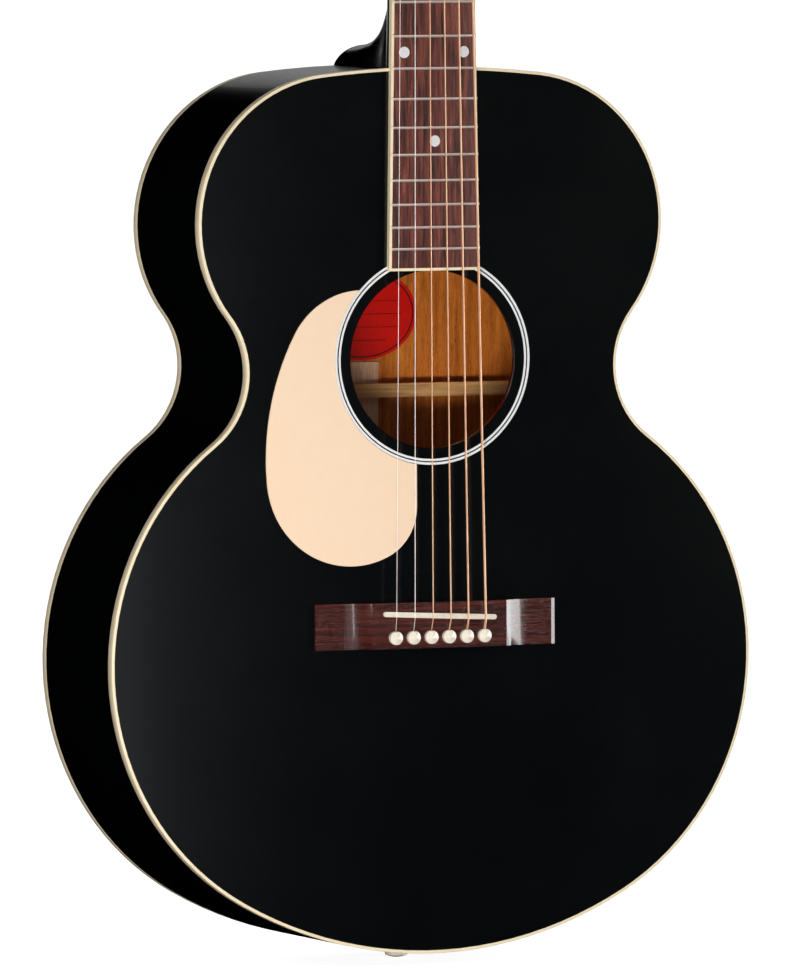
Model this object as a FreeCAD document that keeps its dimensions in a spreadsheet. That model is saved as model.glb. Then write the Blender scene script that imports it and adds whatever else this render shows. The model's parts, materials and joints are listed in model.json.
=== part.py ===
"""Steel-string acoustic guitar with a twelve-fret neck joint and a left-handed stringing.

The row frame is in millimetres: +Z runs up the neck, the soundboard faces -Y and +X is to the
right of a viewer who faces the soundboard. Its origin is the strap button at the tail.

Every piece is drawn in the body frame, whose origin lies on the soundboard's outer surface at the
theoretical saddle line, with Y growing into the body. The hardware of the headstock is drawn in
the head frame instead: X across, Y along the head away from the nut, Z out of its face.
"""
import FreeCAD, Part
import math
import os
import re
import Sketcher

os.makedirs("parts", exist_ok=True)
doc = FreeCAD.newDocument("Guitar")
Vector = FreeCAD.Vector

# ---------------------------------------------------------------- driving dimensions
DIMENSIONS = [
    # scale and frame
    ("scale_length", 628.65), ("fret_count", 19),
    ("saddle_height", 204), ("pin_depth", 58.5),
    # body outline, outside the binding, measured from the saddle line
    ("lower_half", 201.4), ("waist_half", 116.5), ("upper_half", 145.9),
    ("body_bottom", -200.3), ("body_top", 315.2),
    ("bottom_radius", 244), ("lower_radius", 160), ("waist_radius", 51), ("upper_radius", 87),
    # body depth and plates
    ("depth_tail", 113), ("depth_neck", 97), ("back_radius", 4572),
    ("top_thickness", 2.8), ("back_thickness", 2.8), ("side_thickness", 2.3),
    ("binding_width", 1.9), ("binding_height", 6.5),
    ("lining_width", 5.5), ("lining_height", 14), ("kerf_gap", 0.4),
    ("neck_block_width", 78), ("neck_block_length", 62),
    ("tail_block_width", 82), ("tail_block_length", 20),
    # soundhole and rosette
    ("hole_height", 145.5), ("hole_radius", 51.6), ("hole_chamfer", 0.5), ("ring_depth", 1.5),
    ("ring_one_inner", 57.9), ("ring_one_outer", 59.2),
    ("ring_two_inner", 59.95), ("ring_two_outer", 61.35),
    # pickguard
    ("guard_thickness", 0.8), ("guard_gap", 0.3), ("guard_right", -10.6), ("guard_corner", 32),
    ("guard_low_x", -51.4), ("guard_low_z", 79.8), ("guard_low_radius", 53.3),
    ("guard_high_x", -44.9), ("guard_high_z", 138.7), ("guard_high_radius", 47.7),
    ("guard_side_radius", 153),
    # bracing
    ("brace_gap", 0.3), ("cross_height", 58), ("leg_width", 8), ("leg_height", 15),
    ("leg_upper", 138), ("leg_lower", 222), ("leg_tip", 2.5), ("leg_angle", 49), ("lap_gap", 1.2),
    ("bar_tip", 1.5), ("bar_slope", 22), ("tone_bar_width", 7), ("finger_height", 7),
    ("finger_width", 6), ("upper_brace_width", 14), ("upper_brace_height", 13),
    ("upper_brace_offset", 74),
    ("plate_thickness", 2.5), ("plate_top", 7.9), ("plate_bottom", -31),
    ("plate_top_half", 48), ("plate_bottom_half", 84),
    ("back_brace_width", 8), ("back_brace_height", 13), ("strip_gap", 1),
    ("strip_width", 20), ("strip_thickness", 2), ("label_height", 168),
    ("label_half_width", 34.4), ("label_half_height", 27), ("label_thickness", 0.3),
    # bridge, saddle and pins
    ("bridge_half", 75.5), ("bridge_top", 4.9), ("bridge_bottom", -21.8),
    ("bridge_end_width", 2.4), ("bridge_end_drop", 0.8),
    ("bridge_thickness", 8.5), ("wing_thickness", 3.2), ("block_half", 42.4), ("scoop_end", 58),
    ("saddle_length", 71.2), ("saddle_width", 3), ("saddle_middle", -3), ("saddle_slant", 2.72),
    ("saddle_slot_depth", 4.5), ("saddle_crest", 11.9),
    ("pin_line", -15.3), ("pin_spacing", 11.2), ("pin_head_radius", 3.95),
    ("pin_shank_radius", 2.6), ("pin_tip_radius", 2.2), ("pin_length", 22),
    ("pin_hole_radius", 2.75), ("pin_rim", 2.2), ("pin_rise", 4.2), ("pin_bend", 5.2),
    ("pin_groove_start", 1.7), ("pin_groove_width", 1.6),
    ("string_notch", 4.4), ("notch_width", 1.7), ("string_drop", 3.45),
    ("ball_radius", 1.9), ("ball_length", 3.2), ("ball_offset", 4.4),
    # neck and fingerboard
    ("nut_width", 43.8), ("joint_width", 53.6), ("board_thickness", 4.8), ("board_radius", 305),
    ("board_end", 197.1), ("board_binding", 1.6), ("board_end_binding", 1.6),
    ("slot_width", 0.6), ("slot_depth", 3.5), ("tang_depth", 1.8),
    ("crown_width", 1.6), ("crown_height", 1.0), ("fret_overlap", 1.65),
    ("dot_radius", 3.25), ("dot_spread", 18.8), ("dot_depth", 1.5),
    ("side_dot_radius", 1), ("side_dot_drop", 2.4), ("side_dot_depth", 1.2), ("side_dot_pair", 3),
    ("nut_length", 5), ("nut_height", 7), ("nut_slot_floor", 6.1), ("nut_string_half", 18.75),
    ("neck_thin", 15.5), ("neck_thick", 21), ("heel_root", 5), ("heel_cap_thickness", 3),
    ("tenon_length", 16), ("tenon_narrow", 22), ("tenon_wide", 30), ("tenon_depth", 80),
    # headstock, in the head frame
    ("head_angle", 14), ("head_thickness", 14), ("veneer_thickness", 1.5), ("head_length", 176),
    ("head_neck_half", 22.5), ("head_shoulder_half", 30), ("head_top_half", 37),
    ("head_shoulder", 22), ("head_hollow", 26), ("head_corner", 8), ("crown_radius", 95),
    # truss rod
    ("rod_width", 6.2), ("rod_depth", 9), ("rod_bottom", 322), ("rod_axis", 6.4),
    ("rod_tip_radius", 2.5), ("rod_nut_radius", 3.5), ("rod_nut_length", 10), ("rod_nut_gap", 0.6),
    ("rod_nut_floor", 1.5), ("key_radius", 1.9), ("key_depth", 3), ("rod_side_gap", 0.05),
    ("rod_top_gap", 0.3), ("rod_bottom_gap", 0.1),
    ("rod_bore_gap", 0.06), ("pocket_half", 5.5), ("pocket_length", 19), ("pocket_depth", 10.5),
    ("cover_thickness", 1.6), ("cover_start", 1), ("cover_length", 44), ("cover_half", 12.5),
    ("cover_tip_half", 4), ("cover_bend", 30), ("cover_tip_bend", 5),
    ("cover_hole_inset", 3), ("cover_hole_low", 4), ("cover_hole_radius", 0.9),
    ("cover_screw_radius", 0.88), ("cover_head_low", 1.9), ("cover_head_high", 1.2),
    ("cover_head_height", 0.8),
    # tuners, in the head frame
    ("post_first", 42), ("post_step", 40), ("post_inset", 21), ("post_spread", 1.6),
    ("post_radius", 3), ("post_top", 11), ("running_gap", 0.06), ("bushing_radius", 5),
    ("flange_radius", 7), ("flange_height", 2), ("bushing_depth", 8), ("eyelet_radius", 0.8),
    ("gear_radius", 5.6), ("gear_root", 4.9), ("gear_teeth", 15), ("gear_thickness", 3.2),
    ("worm_radius", 2.3), ("worm_offset", 8.4), ("worm_depth", 5), ("worm_half", 6.5),
    ("shaft_radius", 1.9), ("housing_half", 9), ("housing_low", 8), ("housing_high", 12),
    ("housing_depth", 10), ("chamber_half", 7.2), ("chamber_radius", 2.7), ("gear_room", 6.2),
    ("gear_room_half", 2.2), ("housing_floor", 1.5), ("post_floor", 1.8),
    ("lug_half", 4), ("lug_length", 6), ("lug_thickness", 2.2), ("lug_hole_offset", 2.5),
    ("lug_hole_radius", 1.1), ("lug_screw_radius", 0.98), ("lug_screw_length", 9),
    ("lug_head_low", 1.3), ("lug_head_high", 2.1), ("lug_head_height", 1), ("pilot_radius", 1),
    ("button_reach", 9), ("button_stem", 3), ("button_half_length", 7.5), ("button_half_width", 10),
    ("button_half_thickness", 4.6), ("button_rounding", 1.8), ("button_bend", 16),
    ("wrap_height", 6), ("wrap_gap", 0.05), ("string_clearance", 0.35),
    # strings
    ("string_gap", 0.03), ("string_rise", 0.9), ("ball_gap", 0.2), ("behind_nut", 0.4),
    ("bend_at_pin", 1.6), ("bend_at_saddle", 1.5), ("bend_at_nut", 3), ("rear_gap", 0.2),
    # strap button at the tail
    ("button_head_radius", 6.5), ("button_waist_radius", 4), ("button_wall", 3),
    ("button_dome", 1.6), ("button_flare", 0.7),
    ("button_shank", 3.4), ("button_shank_taper", 0.6), ("button_shank_length", 16),
]
STRING_GAUGES = [0.30, 0.41, 0.61, 0.81, 1.07, 1.35]
FORMULAS = [
    ("bottom_centre", "body_bottom + bottom_radius"),
    ("lower_x", "lower_half - lower_radius"),
    ("lower_z", "bottom_centre - sqrt((bottom_radius - lower_radius) ^ 2 - lower_x ^ 2)"),
    ("waist_x", "waist_half + waist_radius"),
    ("waist_z", "lower_z + sqrt((lower_radius + waist_radius) ^ 2 - (waist_x - lower_x) ^ 2)"),
    ("upper_x", "upper_half - upper_radius"),
    ("upper_z", "waist_z + sqrt((waist_radius + upper_radius) ^ 2 - (waist_x - upper_x) ^ 2)"),
    ("top_rise", "upper_z - body_top"),
    ("top_radius", "(upper_radius ^ 2 - upper_x ^ 2 - top_rise ^ 2) / (2 * (top_rise + upper_radius))"),
    ("back_chord", "sqrt((body_top - body_bottom) ^ 2 + (depth_tail - depth_neck) ^ 2)"),
    ("back_rise", "sqrt(back_radius ^ 2 - back_chord ^ 2 / 4)"),
    ("back_centre_y", "(depth_tail + depth_neck) / 2 - back_rise * (body_top - body_bottom) / back_chord"),
    ("back_centre_z", "(body_top + body_bottom) / 2 - back_rise * (depth_tail - depth_neck) / back_chord"),
    ("joint_height", "scale_length / 2"),
    ("taper", "(joint_width - nut_width) / 2 / (scale_length - joint_height)"),
    ("board_axis", "board_radius - board_thickness"),
    ("head_start", "scale_length + nut_length"),
    ("head_turn", "90 - head_angle"),
]

sheet = doc.addObject("Spreadsheet::Sheet", "Dimensions")
ALIASES = [name for name, _ in DIMENSIONS + FORMULAS]


def qualified(text):
    """Put the sheet's name before every alias in an expression."""
    return re.sub(r"[a-z][a-z_]*", lambda word: "Dimensions." + word.group(0)
                  if word.group(0) in ALIASES else word.group(0), str(text))


for row, (alias, number) in enumerate(DIMENSIONS, start=1):
    sheet.set("A%d" % row, alias)
    sheet.set("B%d" % row, str(number))
    sheet.setAlias("B%d" % row, alias)
for row, (alias, formula) in enumerate(FORMULAS, start=1):
    sheet.set("C%d" % row, alias)
    sheet.set("D%d" % row, "=" + formula)
    sheet.setAlias("D%d" % row, alias)
doc.recompute()


def value(text):
    """The number that an expression over the sheet's aliases gives."""
    result = sheet.evalExpression(qualified(text))
    return float(getattr(result, "Value", result))


# ---------------------------------------------------------------- drawing helpers
def bind(thing, **places):
    """Bind properties to expressions; a double underscore in a name stands for a dot."""
    for name, text in places.items():
        thing.setExpression(name.replace("__", "."), qualified(text))
    return thing


def at(thing, x="0", y="0", z="0"):
    """Bind an object's position."""
    return bind(thing, Placement__Base__x=x, Placement__Base__y=y, Placement__Base__z=z)


def box(name, low, size):
    """A block from its lowest corner and its size, both given as expressions."""
    block = doc.addObject("Part::Box", name)
    bind(block, Length=size[0], Width=size[1], Height=size[2])
    return at(block, *low)


TURNS = {
    "x": FreeCAD.Rotation(Vector(0, 1, 0), 90),
    "y": FreeCAD.Rotation(Vector(1, 0, 0), -90),
    "z": FreeCAD.Rotation(),
}


def rod(name, start, axis, radius, length):
    """A cylinder from its first face's centre along a row axis."""
    cylinder = doc.addObject("Part::Cylinder", name)
    cylinder.Placement = FreeCAD.Placement(Vector(), TURNS[axis])
    bind(cylinder, Radius=radius, Height=length)
    return at(cylinder, *start)


def cone(name, start, axis, radius_near, radius_far, length):
    """A truncated cone from its first face's centre along a row axis."""
    frustum = doc.addObject("Part::Cone", name)
    frustum.Placement = FreeCAD.Placement(Vector(), TURNS[axis])
    bind(frustum, Radius1=radius_near, Radius2=radius_far, Height=length)
    return at(frustum, *start)


def cut(name, base, tool):
    """Base without tool."""
    result = doc.addObject("Part::Cut", name)
    result.Base = base
    result.Tool = tool
    return result


def common(name, base, tool):
    """What base and tool share."""
    result = doc.addObject("Part::Common", name)
    result.Base = base
    result.Tool = tool
    return result


def fuse(name, pieces):
    """One solid from overlapping pieces."""
    result = doc.addObject("Part::MultiFuse", name)
    result.Shapes = pieces
    return result


def group(name, pieces):
    """Separate solids held as one object."""
    result = doc.addObject("Part::Compound", name)
    result.Links = pieces
    return result


def body_sketch(body, name, role):
    """A sketch on one of a body's own origin planes."""
    sketch = body.newObject("Sketcher::SketchObject", name)
    plane = next(feature for feature in body.Origin.OriginFeatures if feature.Role == role)
    sketch.AttachmentSupport = (plane, [""])
    sketch.MapMode = "FlatFace"
    return sketch


def dimension(sketch, kind, *where):
    """Add a dimension whose last argument is its expression."""
    number = sketch.addConstraint(Sketcher.Constraint(kind, *where[:-1], value(where[-1])))
    sketch.setExpression("Constraints[%d]" % number, qualified(where[-1]))


def arc_between(start, end, radius):
    """The short arc from start to end; a negative radius bends it clockwise."""
    chord = end - start
    middle = (start + end) * 0.5
    normal = Vector(-chord.y, chord.x, 0).normalize()
    rise = math.sqrt(max(radius * radius - chord.Length ** 2 / 4, 0.0))
    centre = middle + normal * math.copysign(rise, radius)
    first, last = (start, end) if radius > 0 else (end, start)
    begin = math.atan2(first.y - centre.y, first.x - centre.x)
    finish = math.atan2(last.y - centre.y, last.x - centre.x)
    circle = Part.Circle(centre, Vector(0, 0, 1), abs(radius))
    return Part.ArcOfCircle(circle, begin, finish)


def profile(sketch, corners):
    """A closed outline through corners (x, y[, radius]); a radius bends the edge that follows."""
    points = [Vector(value(corner[0]), value(corner[1]), 0) for corner in corners]
    ends = []
    for index, corner in enumerate(corners):
        start, end = points[index], points[(index + 1) % len(points)]
        if len(corner) == 3:
            radius = value(corner[2])
            edge = sketch.addGeometry(arc_between(start, end, radius))
            ends.append((edge, 1, 2) if radius > 0 else (edge, 2, 1))
        else:
            edge = sketch.addGeometry(Part.LineSegment(start, end))
            ends.append((edge, 1, 2))
    for index, corner in enumerate(corners):
        edge, start, _ = ends[index]
        before, _, end = ends[index - 1]
        sketch.addConstraint(Sketcher.Constraint("Coincident", before, end, edge, start))
        dimension(sketch, "DistanceX", -1, 1, edge, start, corner[0])
        dimension(sketch, "DistanceY", -1, 1, edge, start, corner[1])
        if len(corner) == 3:
            dimension(sketch, "Radius", edge, "abs(%s)" % corner[2])
    return sketch


def pad(body, sketch, length, reverse=False, midplane=False):
    """Pad a sketch; without reverse it grows along the plane's normal."""
    feature = body.newObject("PartDesign::Pad", sketch.Name + "Pad")
    feature.Profile = sketch
    feature.Reversed = reverse
    if midplane:
        feature.SideType = "Symmetric"
    bind(feature, Length=length)
    return feature


def padded(name, role, corners, length, reverse=False, midplane=False):
    """A body that is one padded outline."""
    body = doc.addObject("PartDesign::Body", name)
    sketch = profile(body_sketch(body, name + "Sketch", role), corners)
    pad(body, sketch, length, reverse, midplane)
    return body


def turned(name, role, corners, axis_name="V_Axis"):
    """A body revolved about an axis of its sketch."""
    body = doc.addObject("PartDesign::Body", name)
    sketch = profile(body_sketch(body, name + "Sketch", role), corners)
    feature = body.newObject("PartDesign::Revolution", name + "Turn")
    feature.Profile = sketch
    feature.ReferenceAxis = (sketch, [axis_name])
    feature.Angle = 360
    return body


SUBPARTS = []


def subpart(label, thing, in_head=False):
    """Name a finished piece and set it in the row frame."""
    thing.Label = label
    if in_head:
        thing.Placement = FreeCAD.Placement(Vector(), FreeCAD.Rotation(Vector(1, 0, 0), 0))
        bind(thing, Placement__Rotation__Angle="head_turn",
             Placement__Base__y="-pin_depth", Placement__Base__z="saddle_height + head_start")
    else:
        bind(thing, Placement__Base__y="-pin_depth", Placement__Base__z="saddle_height")
    SUBPARTS.append(thing)
    return thing


def shaped(name, shape):
    """A piece whose form Part's own functions make from the sheet's values."""
    feature = doc.addObject("Part::Feature", name)
    feature.Shape = shape
    return feature


def to_body(thing):
    """Turn a tool drawn in the head frame into the body frame."""
    thing.Placement = FreeCAD.Placement(Vector(), FreeCAD.Rotation(Vector(1, 0, 0), 0))
    return bind(thing, Placement__Rotation__Angle="head_turn", Placement__Base__z="head_start")


# ---------------------------------------------------------------- body outline
def outline(sketch, inset):
    """The body's outline of eight tangent arcs, moved inwards by inset."""
    shift = value(inset)
    centres = {}
    for name, x, z, radius, sign in (
            ("bottom", "0", "bottom_centre", "bottom_radius", 1),
            ("lower", "lower_x", "lower_z", "lower_radius", 1),
            ("waist", "waist_x", "waist_z", "waist_radius", -1),
            ("upper", "upper_x", "upper_z", "upper_radius", 1),
            ("top", "0", "body_top - top_radius", "top_radius", 1)):
        centres[name] = (Vector(value(x), value(z), 0), value(radius) - sign * shift)

    def joint(first, second):
        """Where two tangent arcs meet."""
        (near, near_radius), (far, far_radius) = centres[first], centres[second]
        along = (far - near).normalize()
        if "waist" in (first, second):
            return near + along * near_radius
        return near + along * (near_radius if near_radius > far_radius else -near_radius)

    order = ("bottom", "lower", "waist", "upper", "top")
    meets = [joint(order[index], order[index + 1]) for index in range(4)]

    def mirrored(point):
        return Vector(-point.x, point.y, 0)

    def add_arc(centre, radius, start, end):
        ring = Part.Circle(centre, Vector(0, 0, 1), radius)
        begin = math.atan2(start.y - centre.y, start.x - centre.x)
        finish = math.atan2(end.y - centre.y, end.x - centre.x)
        return sketch.addGeometry(Part.ArcOfCircle(ring, begin, finish))

    edges = {}
    centre, radius = centres["bottom"]
    edges["bottom"] = add_arc(centre, radius, mirrored(meets[0]), meets[0])
    for index, name in enumerate(order[1:4]):
        centre, radius = centres[name]
        start, end = meets[index], meets[index + 1]
        if name == "waist":
            start, end = end, start
        edges[name + "_right"] = add_arc(centre, radius, start, end)
        edges[name + "_left"] = add_arc(mirrored(centre), radius, mirrored(end), mirrored(start))
    centre, radius = centres["top"]
    edges["top"] = add_arc(centre, radius, meets[3], mirrored(meets[3]))

    def tangent(first, first_end, second, second_end):
        sketch.addConstraint(Sketcher.Constraint(
            "Tangent", edges[first], first_end, edges[second], second_end))

    tangent("bottom", 2, "lower_right", 1)
    tangent("lower_right", 2, "waist_right", 2)
    tangent("waist_right", 1, "upper_right", 1)
    tangent("upper_right", 2, "top", 1)
    tangent("bottom", 1, "lower_left", 2)
    tangent("lower_left", 1, "waist_left", 1)
    tangent("waist_left", 2, "upper_left", 2)
    tangent("upper_left", 1, "top", 2)
    dimension(sketch, "DistanceX", -1, 1, edges["bottom"], 3, "0")
    dimension(sketch, "DistanceY", -1, 1, edges["bottom"], 3, "bottom_centre")
    dimension(sketch, "DistanceY", -1, 1, edges["top"], 3, "body_top - top_radius")
    dimension(sketch, "Radius", edges["bottom"], "bottom_radius - (%s)" % inset)
    for name in order[1:4]:
        sign = "+" if name == "waist" else "-"
        for side, factor in (("right", ""), ("left", "-")):
            edge = edges["%s_%s" % (name, side)]
            dimension(sketch, "Radius", edge, "%s_radius %s (%s)" % (name, sign, inset))
            dimension(sketch, "DistanceX", -1, 1, edge, 3, "%s%s_x" % (factor, name))
    return sketch


def outline_slab(name, inset, start, thickness):
    """A slab of the body's outline from depth start, thickness deep."""
    sketch = doc.addObject("Sketcher::SketchObject", name + "Sketch")
    sketch.Placement = FreeCAD.Placement(Vector(), FreeCAD.Rotation(Vector(1, 0, 0), 90))
    outline(sketch, inset)
    bind(sketch, Placement__Base__y=start)
    slab = doc.addObject("Part::Extrusion", name)
    slab.Base = sketch
    slab.DirMode = "Custom"
    slab.Dir = Vector(0, 1, 0)
    slab.Solid = True
    return bind(slab, LengthFwd=thickness)


def outline_ring(name, outer_inset, inner_inset, start, thickness):
    """A band between two insets of the body's outline."""
    outer = outline_slab(name + "Outer", outer_inset, start, thickness)
    inner = outline_slab(name + "Inner", inner_inset, start, thickness)
    return cut(name, outer, inner)


def dome(name, less):
    """The ball whose surface is the back, less a thickness."""
    ball = doc.addObject("Part::Sphere", name)
    bind(ball, Radius="back_radius - (%s)" % less)
    return at(ball, "0", "back_centre_y", "back_centre_z")


FULL_DEPTH = "depth_tail + 20"
back_outer = dome("BackOuter", "0")
back_inner = dome("BackInner", "back_thickness")
binding_floor = dome("BindingFloor", "binding_height")
lining_floor = dome("LiningFloor", "back_thickness + lining_height")
brace_floor = dome("BraceFloor", "back_thickness + back_brace_height")
strip_floor = dome("StripFloor", "back_thickness + strip_thickness")
label_floor = dome("LabelFloor", "back_thickness + label_thickness")

# the neck's dovetail slides down its socket from the soundboard's surface
DOVETAIL = [
    ("-tenon_narrow / 2", "body_top + 1"),
    ("-tenon_wide / 2", "body_top - tenon_length"),
    ("tenon_wide / 2", "body_top - tenon_length"),
    ("tenon_narrow / 2", "body_top + 1"),
]
dovetail = padded("Dovetail", "XZ_Plane", DOVETAIL, "tenon_depth", reverse=True)

top_binding_blank = outline_ring("TopBindingBlank", "0", "binding_width", "0", "binding_height")
back_band = outline_ring("BackBand", "0", "binding_width", "60", FULL_DEPTH)
back_binding_blank = cut("BackBindingBlank", common("BackBandInside", back_band, back_outer),
                         binding_floor)


def make_sides():
    """Two bent sides with rabbets for the bindings, joined at the tail and at the neck."""
    wall = outline_ring("SideWall", "0", "side_thickness", "top_thickness", FULL_DEPTH)
    closed = common("SideWallClosed", wall, back_inner)
    shank = rod("ShankHoleInSide", ("0", "pin_depth", "body_bottom - 1"), "z",
                "button_shank", "button_shank_length + 1")
    rabbets = group("SideRabbets", [top_binding_blank, back_binding_blank, dovetail, shank])
    ring = cut("SideRing", closed, rabbets)
    for label, low in (("side_left", "-lower_half - 1"), ("side_right", "0")):
        half = box(label + "_half", (low, "-1", "body_bottom - 1"),
                   ("lower_half + 1", FULL_DEPTH, "body_top - body_bottom + 2"))
        subpart(label, common(label, ring, half))


def make_bindings():
    """Plastic bindings along both edges of the sides."""
    subpart("top_binding", cut("TopBinding", top_binding_blank, dovetail))
    subpart("back_binding", group("BackBinding", [back_binding_blank]))


def block(name, width, length, low):
    """A block between the plates whose end follows the inside of the sides."""
    blank = box(name + "Blank", ("-(%s) / 2" % width, "top_thickness", low),
                (width, FULL_DEPTH, length))
    inside = outline_slab(name + "Inside", "side_thickness", "top_thickness", FULL_DEPTH)
    fitted = common(name + "Fitted", common(name + "InSides", blank, inside), back_inner)
    return fitted


def make_blocks():
    """The neck block, with its dovetail socket, and the tail block with the button's hole."""
    neck = block("NeckBlock", "neck_block_width", "neck_block_length + 4",
                 "body_top - neck_block_length")
    socket = cut("NeckBlockSocket", neck, dovetail)
    subpart("neck_block", socket)
    tail = block("TailBlock", "tail_block_width", "tail_block_length + 4", "body_bottom - 4")
    shank = rod("ShankHoleInBlock", ("0", "pin_depth", "body_bottom - 1"), "z",
                "button_shank", "button_shank_length + 1")
    subpart("tail_block", cut("TailBlockDrilled", tail, shank))


def make_linings():
    """Lining strips that give the plates a glue surface, between the two blocks."""
    inner = "side_thickness + lining_width"
    gaps = group("LiningGaps", [
        box("LiningNeckGap", ("-neck_block_width / 2 - kerf_gap", "-1", "body_top - neck_block_length"),
            ("neck_block_width + 2 * kerf_gap", FULL_DEPTH, "neck_block_length + 4")),
        box("LiningTailGap", ("-tail_block_width / 2 - kerf_gap", "-1", "body_bottom - 4"),
            ("tail_block_width + 2 * kerf_gap", FULL_DEPTH, "tail_block_length + 8"))])
    top = outline_ring("TopLiningRing", "side_thickness", inner, "top_thickness", "lining_height")
    subpart("top_lining", cut("TopLining", top, gaps))
    back = outline_ring("BackLiningRing", "side_thickness", inner, "60", FULL_DEPTH)
    shell = cut("BackLiningShell", common("BackLiningInside", back, back_inner), lining_floor)
    subpart("back_lining", cut("BackLining", shell, gaps))


def keyhole(index, x):
    """A tapered pin's hole with the notch that its string lies in."""
    hole = rod("PinHole%d" % index, (x, "-bridge_thickness - 1", "pin_line"), "y",
               "pin_hole_radius", "bridge_thickness + 20")
    notch = box("PinNotch%d" % index,
                (x + " - notch_width / 2", "-bridge_thickness - 1", "pin_line"),
                ("notch_width", "bridge_thickness + 20", "string_notch"))
    return fuse("PinKeyhole%d" % index, [hole, notch])


STRING_X = ["(%s) * pin_spacing" % (number - 2.5) for number in range(6)]
keyholes = group("PinKeyholes", [keyhole(index, x) for index, x in enumerate(STRING_X)])


def disc(name, radius, start, depth):
    """A disc about the soundhole's centre, from depth start."""
    return rod(name, ("0", start, "hole_height"), "y", radius, depth)


def make_soundboard():
    """The soundboard with its chamfered soundhole and two inlaid rings."""
    slab = outline_slab("TopSlab", "binding_width", "0", "top_thickness")
    hole = disc("Soundhole", "hole_radius", "-1", "top_thickness + 2")
    chamfer = cone("SoundholeChamfer", ("0", "-1", "hole_height"), "y",
                   "hole_radius + hole_chamfer + 1", "hole_radius", "hole_chamfer + 1")
    rings = []
    for name, inner, outer in (("One", "ring_one_inner", "ring_one_outer"),
                               ("Two", "ring_two_inner", "ring_two_outer")):
        rings.append(cut("Ring" + name, disc("RingDisc" + name, outer, "0", "ring_depth"),
                         disc("RingCore" + name, inner, "-1", "ring_depth + 2")))
    rosette = group("Rosette", rings)
    tools = group("TopTools", [hole, chamfer, rosette, keyholes, dovetail])
    subpart("soundboard", cut("Soundboard", slab, tools))
    subpart("rosette", group("RosetteRings", rings))


def make_pickguard():
    """A thin plate below the soundhole that follows the rosette on one side."""
    body = doc.addObject("PartDesign::Body", "Pickguard")
    sketch = body_sketch(body, "PickguardSketch", "XZ_Plane")
    ring = value("ring_two_outer + guard_gap")
    middle = Vector(0, value("hole_height"), 0)
    high = Vector(value("guard_high_x"), value("guard_high_z"), 0)
    low = Vector(value("guard_low_x"), value("guard_low_z"), 0)
    high_radius, low_radius = value("guard_high_radius"), value("guard_low_radius")
    right, corner = value("guard_right"), value("guard_corner")
    # the tip, where the upper lobe meets the ring
    between = high - middle
    along = (ring ** 2 - high_radius ** 2 + between.Length ** 2) / (2 * between.Length)
    across = math.sqrt(ring ** 2 - along ** 2)
    unit = Vector(between).normalize()
    tip = middle + unit * along + Vector(unit.y, -unit.x, 0) * across
    if tip.y < middle.y:
        tip = middle + unit * along - Vector(unit.y, -unit.x, 0) * across
    # the bowed left side is an arc that both lobes touch from within
    to_high = value("guard_side_radius") - high_radius
    to_low = value("guard_side_radius") - low_radius
    apart = low - high
    along = (to_high ** 2 - to_low ** 2 + apart.Length ** 2) / (2 * apart.Length)
    across = math.sqrt(to_high ** 2 - along ** 2)
    unit = Vector(apart).normalize()
    bow = high + unit * along + Vector(-unit.y, unit.x, 0) * across
    left_high = high + (high - bow).normalize() * high_radius
    left_low = low + (low - bow).normalize() * low_radius
    # the rounded corner between the lower lobe and the straight right side
    inner_x = right - corner
    reach = low_radius - corner
    corner_centre = Vector(inner_x, low.y - math.sqrt(reach ** 2 - (inner_x - low.x) ** 2), 0)
    corner_start = low + (corner_centre - low).normalize() * low_radius
    corner_end = Vector(right, corner_centre.y, 0)
    notch = Vector(right, middle.y - math.sqrt(ring ** 2 - right ** 2), 0)
    bottom = low - Vector(0, low_radius, 0)
    corners = [(tip, (high_radius,)), (left_high, (value("guard_side_radius"),)),
               (left_low, (low_radius,)), (bottom, (low_radius,)), (corner_start, (corner,)),
               (corner_end, ()), (notch, (-ring,))]
    profile(sketch, [tuple("%.6f" % number for number in (point.x, point.y) + bend)
                     for point, bend in corners])
    pad(body, sketch, "guard_thickness")
    subpart("pickguard", body)


# ---------------------------------------------------------------- bracing
# a leg's side view: along it from the waist to the lower bout, and its height off the soundboard
LEG_PROFILE = [
    ("-leg_upper", "0"), ("leg_lower", "0"), ("leg_lower", "leg_tip"),
    ("leg_lower - 30", "leg_tip + 1"), ("120", "8"), ("70", "leg_height"), ("-30", "leg_height"),
    ("-60", "leg_height - 2"), ("-110", "5"), ("-leg_upper", "leg_tip"),
]
# middle across and up, length, height and turn of the two tone bars
TONE_BARS = [("-15", "-78", "160", "10", 30), ("8", "-120", "118", "8", 25)]
# middle across and up, length and turn of the two finger braces on each side
FINGER_BRACES = [(136, -8, 84, 22), (124, 52, 78, -12)]


def make_x_brace():
    """Two tall scalloped legs, half-lapped where they cross."""
    for label, turn, notch_low, notch_high in (
            ("x_brace_a", "90 - leg_angle", "leg_height / 2", "leg_height + 1"),
            ("x_brace_b", "90 + leg_angle", "-1", "leg_height / 2")):
        leg = padded(label + "_body", "XY_Plane", LEG_PROFILE, "leg_width", midplane=True)
        lap = box(label + "_lap", ("-leg_width / 2 - lap_gap", notch_low, "-leg_width"),
                  ("leg_width + 2 * lap_gap", "%s - (%s)" % (notch_high, notch_low),
                   "2 * leg_width"))
        holder = group(label + "_turned", [cut(label + "_cut", leg, lap)])
        holder.Placement = FreeCAD.Placement(Vector(), FreeCAD.Rotation(Vector(0, 1, 0), 0))
        bind(holder, Placement__Rotation__Angle=turn, Placement__Base__y="top_thickness",
             Placement__Base__z="cross_height")
        subpart(label, group(label + "_set", [holder]))


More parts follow.
